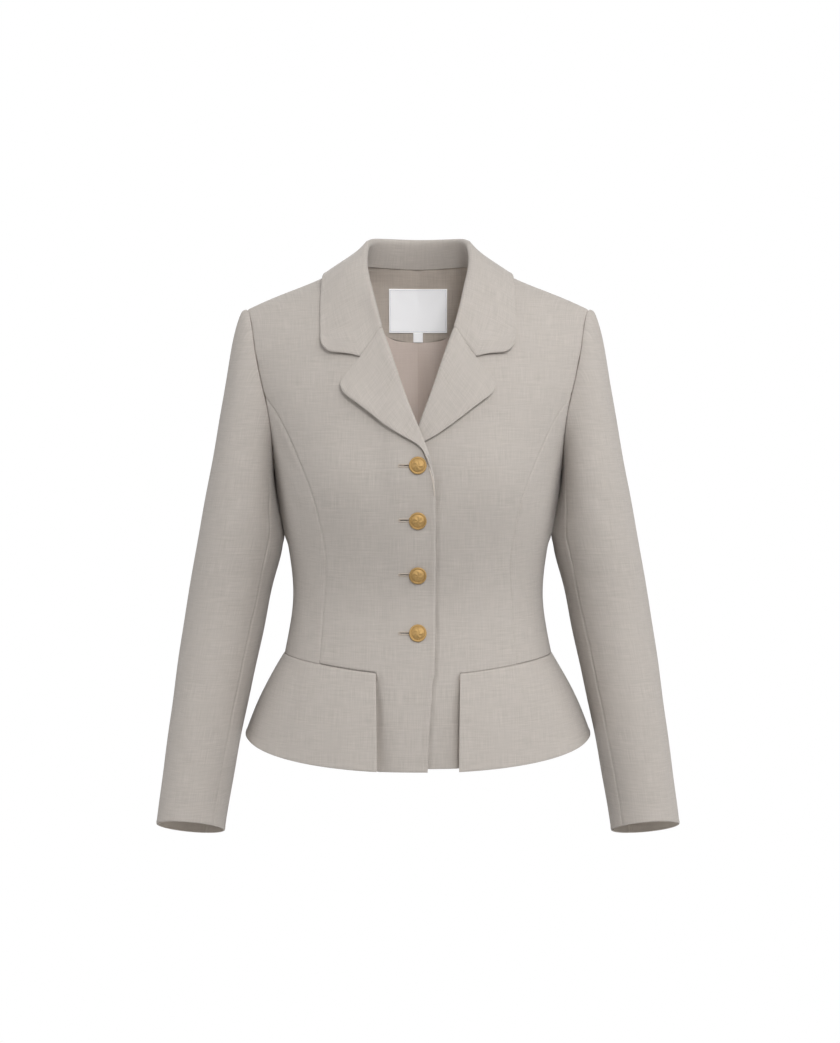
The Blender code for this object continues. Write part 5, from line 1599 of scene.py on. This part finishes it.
# %% Buttons
BUTTON_Z, BUTTON_STAND = (-0.228, -0.287, -0.347, -0.411), 0.0005
BUTTON_TURNS, BUTTON_FINE, PETALS, SWIRL = 96, 64, 5, 620.0
BUTTON = table(
    "radius rise over_lap",
    (0.0000, 0.0000, 0),
    (0.0011, 0.0000, 0),
    (0.0011, 0.0001, 1),
    (0.0086, 0.0001, 1),
    (0.0095, 0.0008, 1),
    (0.0095, 0.0015, 1),
    (0.0089, 0.0021, 1),
    (0.0079, 0.0021, 1),
    (0.0074, 0.0017, 1),
    (0.0052, 0.0032, 1),
    (0.0028, 0.0039, 1),
    (0.0000, 0.0041, 1),
)
PETAL_HIGH, PETAL_STARTS, PETAL_ENDS, FACE_FROM = 0.00022, (0.0006, 0.0022), (0.0052, 0.0066), 6


def button_face(raised):
    """Radius and rise of the button from the shank round to the middle of its face, in close steps.

    The second value says which steps lie on the face, past the row of the rim.
    """
    line = np.stack([BUTTON["radius"], BUTTON["rise"] + raised * BUTTON["over_lap"]], 1)
    gone = np.concatenate([[0], np.cumsum(np.linalg.norm(np.diff(line, axis=0), axis=1))])
    at = np.unique(np.concatenate([gone, np.linspace(0, gone[-1], BUTTON_FINE)]))
    return np.stack([np.interp(at, gone, line[:, k]) for k in (0, 1)], 1), at > gone[FACE_FROM]


def button(node, z):
    """A turned button with petals pressed into its face."""
    at = locate(0.0, z)
    axis, seat = body_normal(*at), body_point(*at)
    profile, on_face = button_face(float(lap_lift(0.0, z)) + BUTTON_STAND - LAYER_GAP)
    across = unit(np.cross(axis, np.array([0, 0, 1.0])))
    upright = np.cross(across, axis)
    turn = np.linspace(0, 2 * math.pi, BUTTON_TURNS, endpoint=False)
    radius, rise = profile[:, :1], profile[:, 1:]
    petal = smoothstep(*PETAL_STARTS, radius) * (1 - smoothstep(*PETAL_ENDS, radius))
    pressed = PETAL_HIGH * petal * np.cos(PETALS * turn + SWIRL * radius) * on_face[:, None]
    out = radius[..., None] * (np.cos(turn)[:, None] * across + np.sin(turn)[:, None] * upright)
    points = seat + axis * LAYER_GAP + axis * (rise + pressed)[..., None] + out
    rings, n = points.shape[:2]
    low = (np.arange(rings - 1)[:, None] * n + np.arange(n)).ravel()
    after = (np.arange(rings - 1)[:, None] * n + (np.arange(n) + 1) % n).ravel()
    faces = np.stack([low, low + n, after + n, after], 1)
    made = mesh_piece(f"{node}_piece", points.reshape(-1, 3), faces, [GOLD])
    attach(made, "root")
    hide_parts(node)


for number, z in enumerate(BUTTON_Z, 1):
    button(f"button_{number}", z)
print("buttons:", len(BUTTON_Z))

# %% [markdown]
# ## Buttonholes and thread
# A tailor cuts a slit and whips its edge with close stitches that lie side by side like beads. Here a box
# cuts each slit out of the right front, and a beaded tube runs round it on the cloth. The label is held by
# a line of small stitches in the same way. Bump in a material would be less work, but it looks flat from
# the side.

# %% Thread
SLIT_FROM, SLIT_TO, SLIT_HIGH, SLIT_DEEP = -0.0195, 0.0030, 0.0009, 0.016
STITCH_OUT, STITCH_THICK, STITCH_LONG, STITCH_LEAST = 0.0018, 0.0008, 0.0009, 0.6
THREAD_SIDES, PATH_STEP, SLIT_END_STEPS, IN_FRONT = 6, 0.00012, 9, -1.0


def thread(name, path, out, thick, long, least, material):
    """A closed tube along a path, thick and thin in turn, like stitches in a row."""
    ahead = unit(np.roll(path, -1, axis=0) - np.roll(path, 1, axis=0))
    aside = unit(np.cross(ahead, out))
    gone = np.cumsum(np.linalg.norm(path - np.roll(path, 1, axis=0), axis=1))
    radius = thick * (least + (1 - least) * np.abs(np.sin(math.pi * gone / long)))
    turn = np.linspace(0, 2 * math.pi, THREAD_SIDES, endpoint=False)
    ring = aside[:, None] * np.cos(turn)[:, None] + out[:, None] * np.sin(turn)[:, None]
    points = path[:, None] + ring * radius[:, None, None]
    rows, n = len(path), THREAD_SIDES
    low, k = np.divmod(np.arange(rows * n), n)
    high, after = (low + 1) % rows, (k + 1) % n
    faces = np.stack([low * n + k, high * n + k, high * n + after, low * n + after], 1)
    made = mesh_piece(name, points.reshape(-1, 3), faces, [material], flat=np.zeros((rows * n, 2)))
    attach(made, "root")
    return made


def even_path(corners):
    """Points at even steps round a closed outline."""
    corners = np.concatenate([corners, corners[:1]])
    gone = np.concatenate([[0], np.cumsum(np.linalg.norm(np.diff(corners, axis=0), axis=1))])
    at = np.arange(0, gone[-1], PATH_STEP)
    return np.stack([np.interp(at, gone, corners[:, k]) for k in range(corners.shape[1])], 1)


def laid_on(target, outline):
    """Places and normals where an outline, seen from the front, meets a piece."""
    hits = [target.ray_cast((x, IN_FRONT, z), (0.0, 1.0, 0.0))[1:3] for x, z in even_path(outline)]
    return (np.array(values) for values in zip(*hits))


def slit_outline(z):
    """Outline of the stitched edge, as x and z: a long loop with round ends."""
    turn = np.linspace(0, math.pi, SLIT_END_STEPS)
    radius = SLIT_HIGH / 2 + STITCH_OUT / 2
    left = np.stack([SLIT_FROM - radius * np.sin(turn), z + radius * np.cos(turn)], 1)
    right = np.stack([SLIT_TO + radius * np.sin(turn), z - radius * np.cos(turn)], 1)
    return np.concatenate([left, right])


# %% Buttonholes
BOX_SIDES = np.array([[0, 2, 3, 1], [4, 5, 7, 6], [0, 1, 5, 4], [2, 6, 7, 3], [0, 4, 6, 2], [1, 3, 7, 5]])
cutters, knife_sides = [], []
for number, z in enumerate(BUTTON_Z, 1):
    path, out = laid_on(lapped, slit_outline(z))
    made = thread(f"buttonhole_{number}", path, out, STITCH_THICK, STITCH_LONG, STITCH_LEAST, STITCH)
    middle = body_point(*locate(0.0, z))[1]
    depths, heights = (middle - SLIT_DEEP, middle + SLIT_DEEP / 2), (z - SLIT_HIGH / 2, z + SLIT_HIGH / 2)
    knife_sides.append(BOX_SIDES + len(cutters))
    cutters += [[x, y, height] for height in heights for y in depths for x in (SLIT_FROM, SLIT_TO)]
knife = mesh_piece("slits", np.array(cutters), np.concatenate(knife_sides), [CLOTH])
cut = lapped.modifiers.new("slits", "BOOLEAN")
cut.operation, cut.solver, cut.object = "DIFFERENCE", "EXACT", knife
slit_mesh = bpy.data.meshes.new_from_object(lapped.evaluated_get(bpy.context.evaluated_depsgraph_get()))
lapped.modifiers.clear()
lapped.data = slit_mesh
bpy.data.objects.remove(knife)
print("right front after cutting:", len(slit_mesh.polygons), "faces")

# %% Label stitches
LABEL_INSET, LABEL_STITCH, LABEL_THREAD, LABEL_LEAST = 0.0016, 0.0024, 0.00022, 0.2
wide, high = LABEL_HALF - LABEL_INSET, (LABEL_TOP - LABEL_FOOT) / 2 - LABEL_INSET
label_middle = (LABEL_TOP + LABEL_FOOT) / 2
inset = np.array([(wide, high), (-wide, high), (-wide, -high), (wide, -high)]) + (0, label_middle)
path, out = laid_on(bpy.data.objects["label_piece"], inset)
made = thread("label_stitches", path, out, LABEL_THREAD, LABEL_STITCH, LABEL_LEAST, GREY_STITCH)
print("thread round the label:", round(len(path) * PATH_STEP, 3), "m")

# %% [markdown]
# ## Room, light and camera
# A white sweep and five plain lights give the even studio look. A large soft light hangs at the upper right,
# and a smaller one in front draws the shadows of the lapels. One on each side lights the sleeves, and one
# behind lights the back. The floor is a plain pale disc well below the hem. A picture of a studio could
# light the scene too, but plain lights can be set one by one.

# %% Stage
FLOOR_Z, FLOOR_WIDE, FLOOR_SIDES, FLOOR_GREY = -1.32, 1.2, 64, 0.86
turn = np.linspace(0, 2 * math.pi, FLOOR_SIDES, endpoint=False)
ring = np.stack([FLOOR_WIDE * np.cos(turn), FLOOR_WIDE * np.sin(turn), np.full(FLOOR_SIDES, FLOOR_Z)], 1)
floor_mesh = bpy.data.meshes.new("floor")
floor_mesh.from_pydata(ring.tolist(), [], [list(range(FLOOR_SIDES))])
floor = bpy.data.objects.new("floor", floor_mesh)
bpy.context.collection.objects.link(floor)
pale = bpy.data.materials.new("floor")
pale.use_nodes = True
pale.node_tree.nodes["Principled BSDF"].inputs["Base Color"].default_value = (*[FLOOR_GREY] * 3, 1)
floor_mesh.materials.append(pale)
print("floor at", FLOOR_Z, "m")

# %% Light
LIGHTS = table(
    "x y z wide power",
    (1.4, -1.9, 1.8, 1.6, 26.0),
    (0.5, -2.6, 1.1, 0.6, 39.0),
    (2.1, -0.5, 0.3, 1.6, 16.5),
    (-2.0, -0.7, 0.4, 1.6, 16.0),
    (-0.5, 2.4, 1.0, 1.6, 24.0),
)
AIM = np.array([0.0, 0.0, -0.3])
AMBIENT_BELOW, AMBIENT_ABOVE = 0.15, 0.48
scene = bpy.context.scene
scene.view_settings.view_transform = "Standard"


def aim(obj, target):
    """Turns an object so that it looks at a place."""
    obj.rotation_euler = Vector(target - np.array(obj.location)).to_track_quat("-Z", "Y").to_euler()


for number, (x, y, z, wide, power) in enumerate(zip(*LIGHTS.values())):
    lamp = bpy.data.lights.new(f"light_{number}", "AREA")
    lamp.shape, lamp.size, lamp.energy = "SQUARE", wide, power
    holder = bpy.data.objects.new(f"light_{number}", lamp)
    holder.location = (x, y, z)
    bpy.context.collection.objects.link(holder)
    aim(holder, AIM)
world = bpy.data.worlds.new("room")
scene.world = world
world.use_nodes = True
sky = world.node_tree
background = sky.nodes["Background"]
background.inputs["Color"].default_value = (1, 1, 1, 1)
seen = add(sky, "ShaderNodeLightPath").outputs["Is Camera Ray"]
way = add(sky, "ShaderNodeTexCoord").outputs["Generated"]
height = add(sky, "ShaderNodeSeparateXYZ", {0: way}).outputs[2]
half_way, rise = (AMBIENT_ABOVE + AMBIENT_BELOW) / 2, (AMBIENT_ABOVE - AMBIENT_BELOW) / 2
around = maths(sky, "MULTIPLY_ADD", height, rise, half_way)
sky.links.new(maths(sky, "MAXIMUM", seen, around), background.inputs["Strength"])
print("lights:", len(LIGHTS["power"]), "with", round(float(LIGHTS["power"].sum()), 1), "W in all")

# %% Camera
CAMERA_X, DISTANCE, AXIS_Z, PITCH, FIELD = 0.0023, 2.4, -0.295, 3.0, 27.8
lens = bpy.data.cameras.new("camera")
lens.sensor_fit = "VERTICAL"
lens.angle = math.radians(FIELD)
camera = bpy.data.objects.new("camera", lens)
tilt = math.radians(PITCH)
camera.location = (CAMERA_X, -DISTANCE * math.cos(tilt), AXIS_Z + DISTANCE * math.sin(tilt))
camera.rotation_euler = (math.pi / 2 - tilt, 0, 0)
bpy.context.collection.objects.link(camera)
scene.camera = camera
print("camera at", [round(value, 3) for value in camera.location])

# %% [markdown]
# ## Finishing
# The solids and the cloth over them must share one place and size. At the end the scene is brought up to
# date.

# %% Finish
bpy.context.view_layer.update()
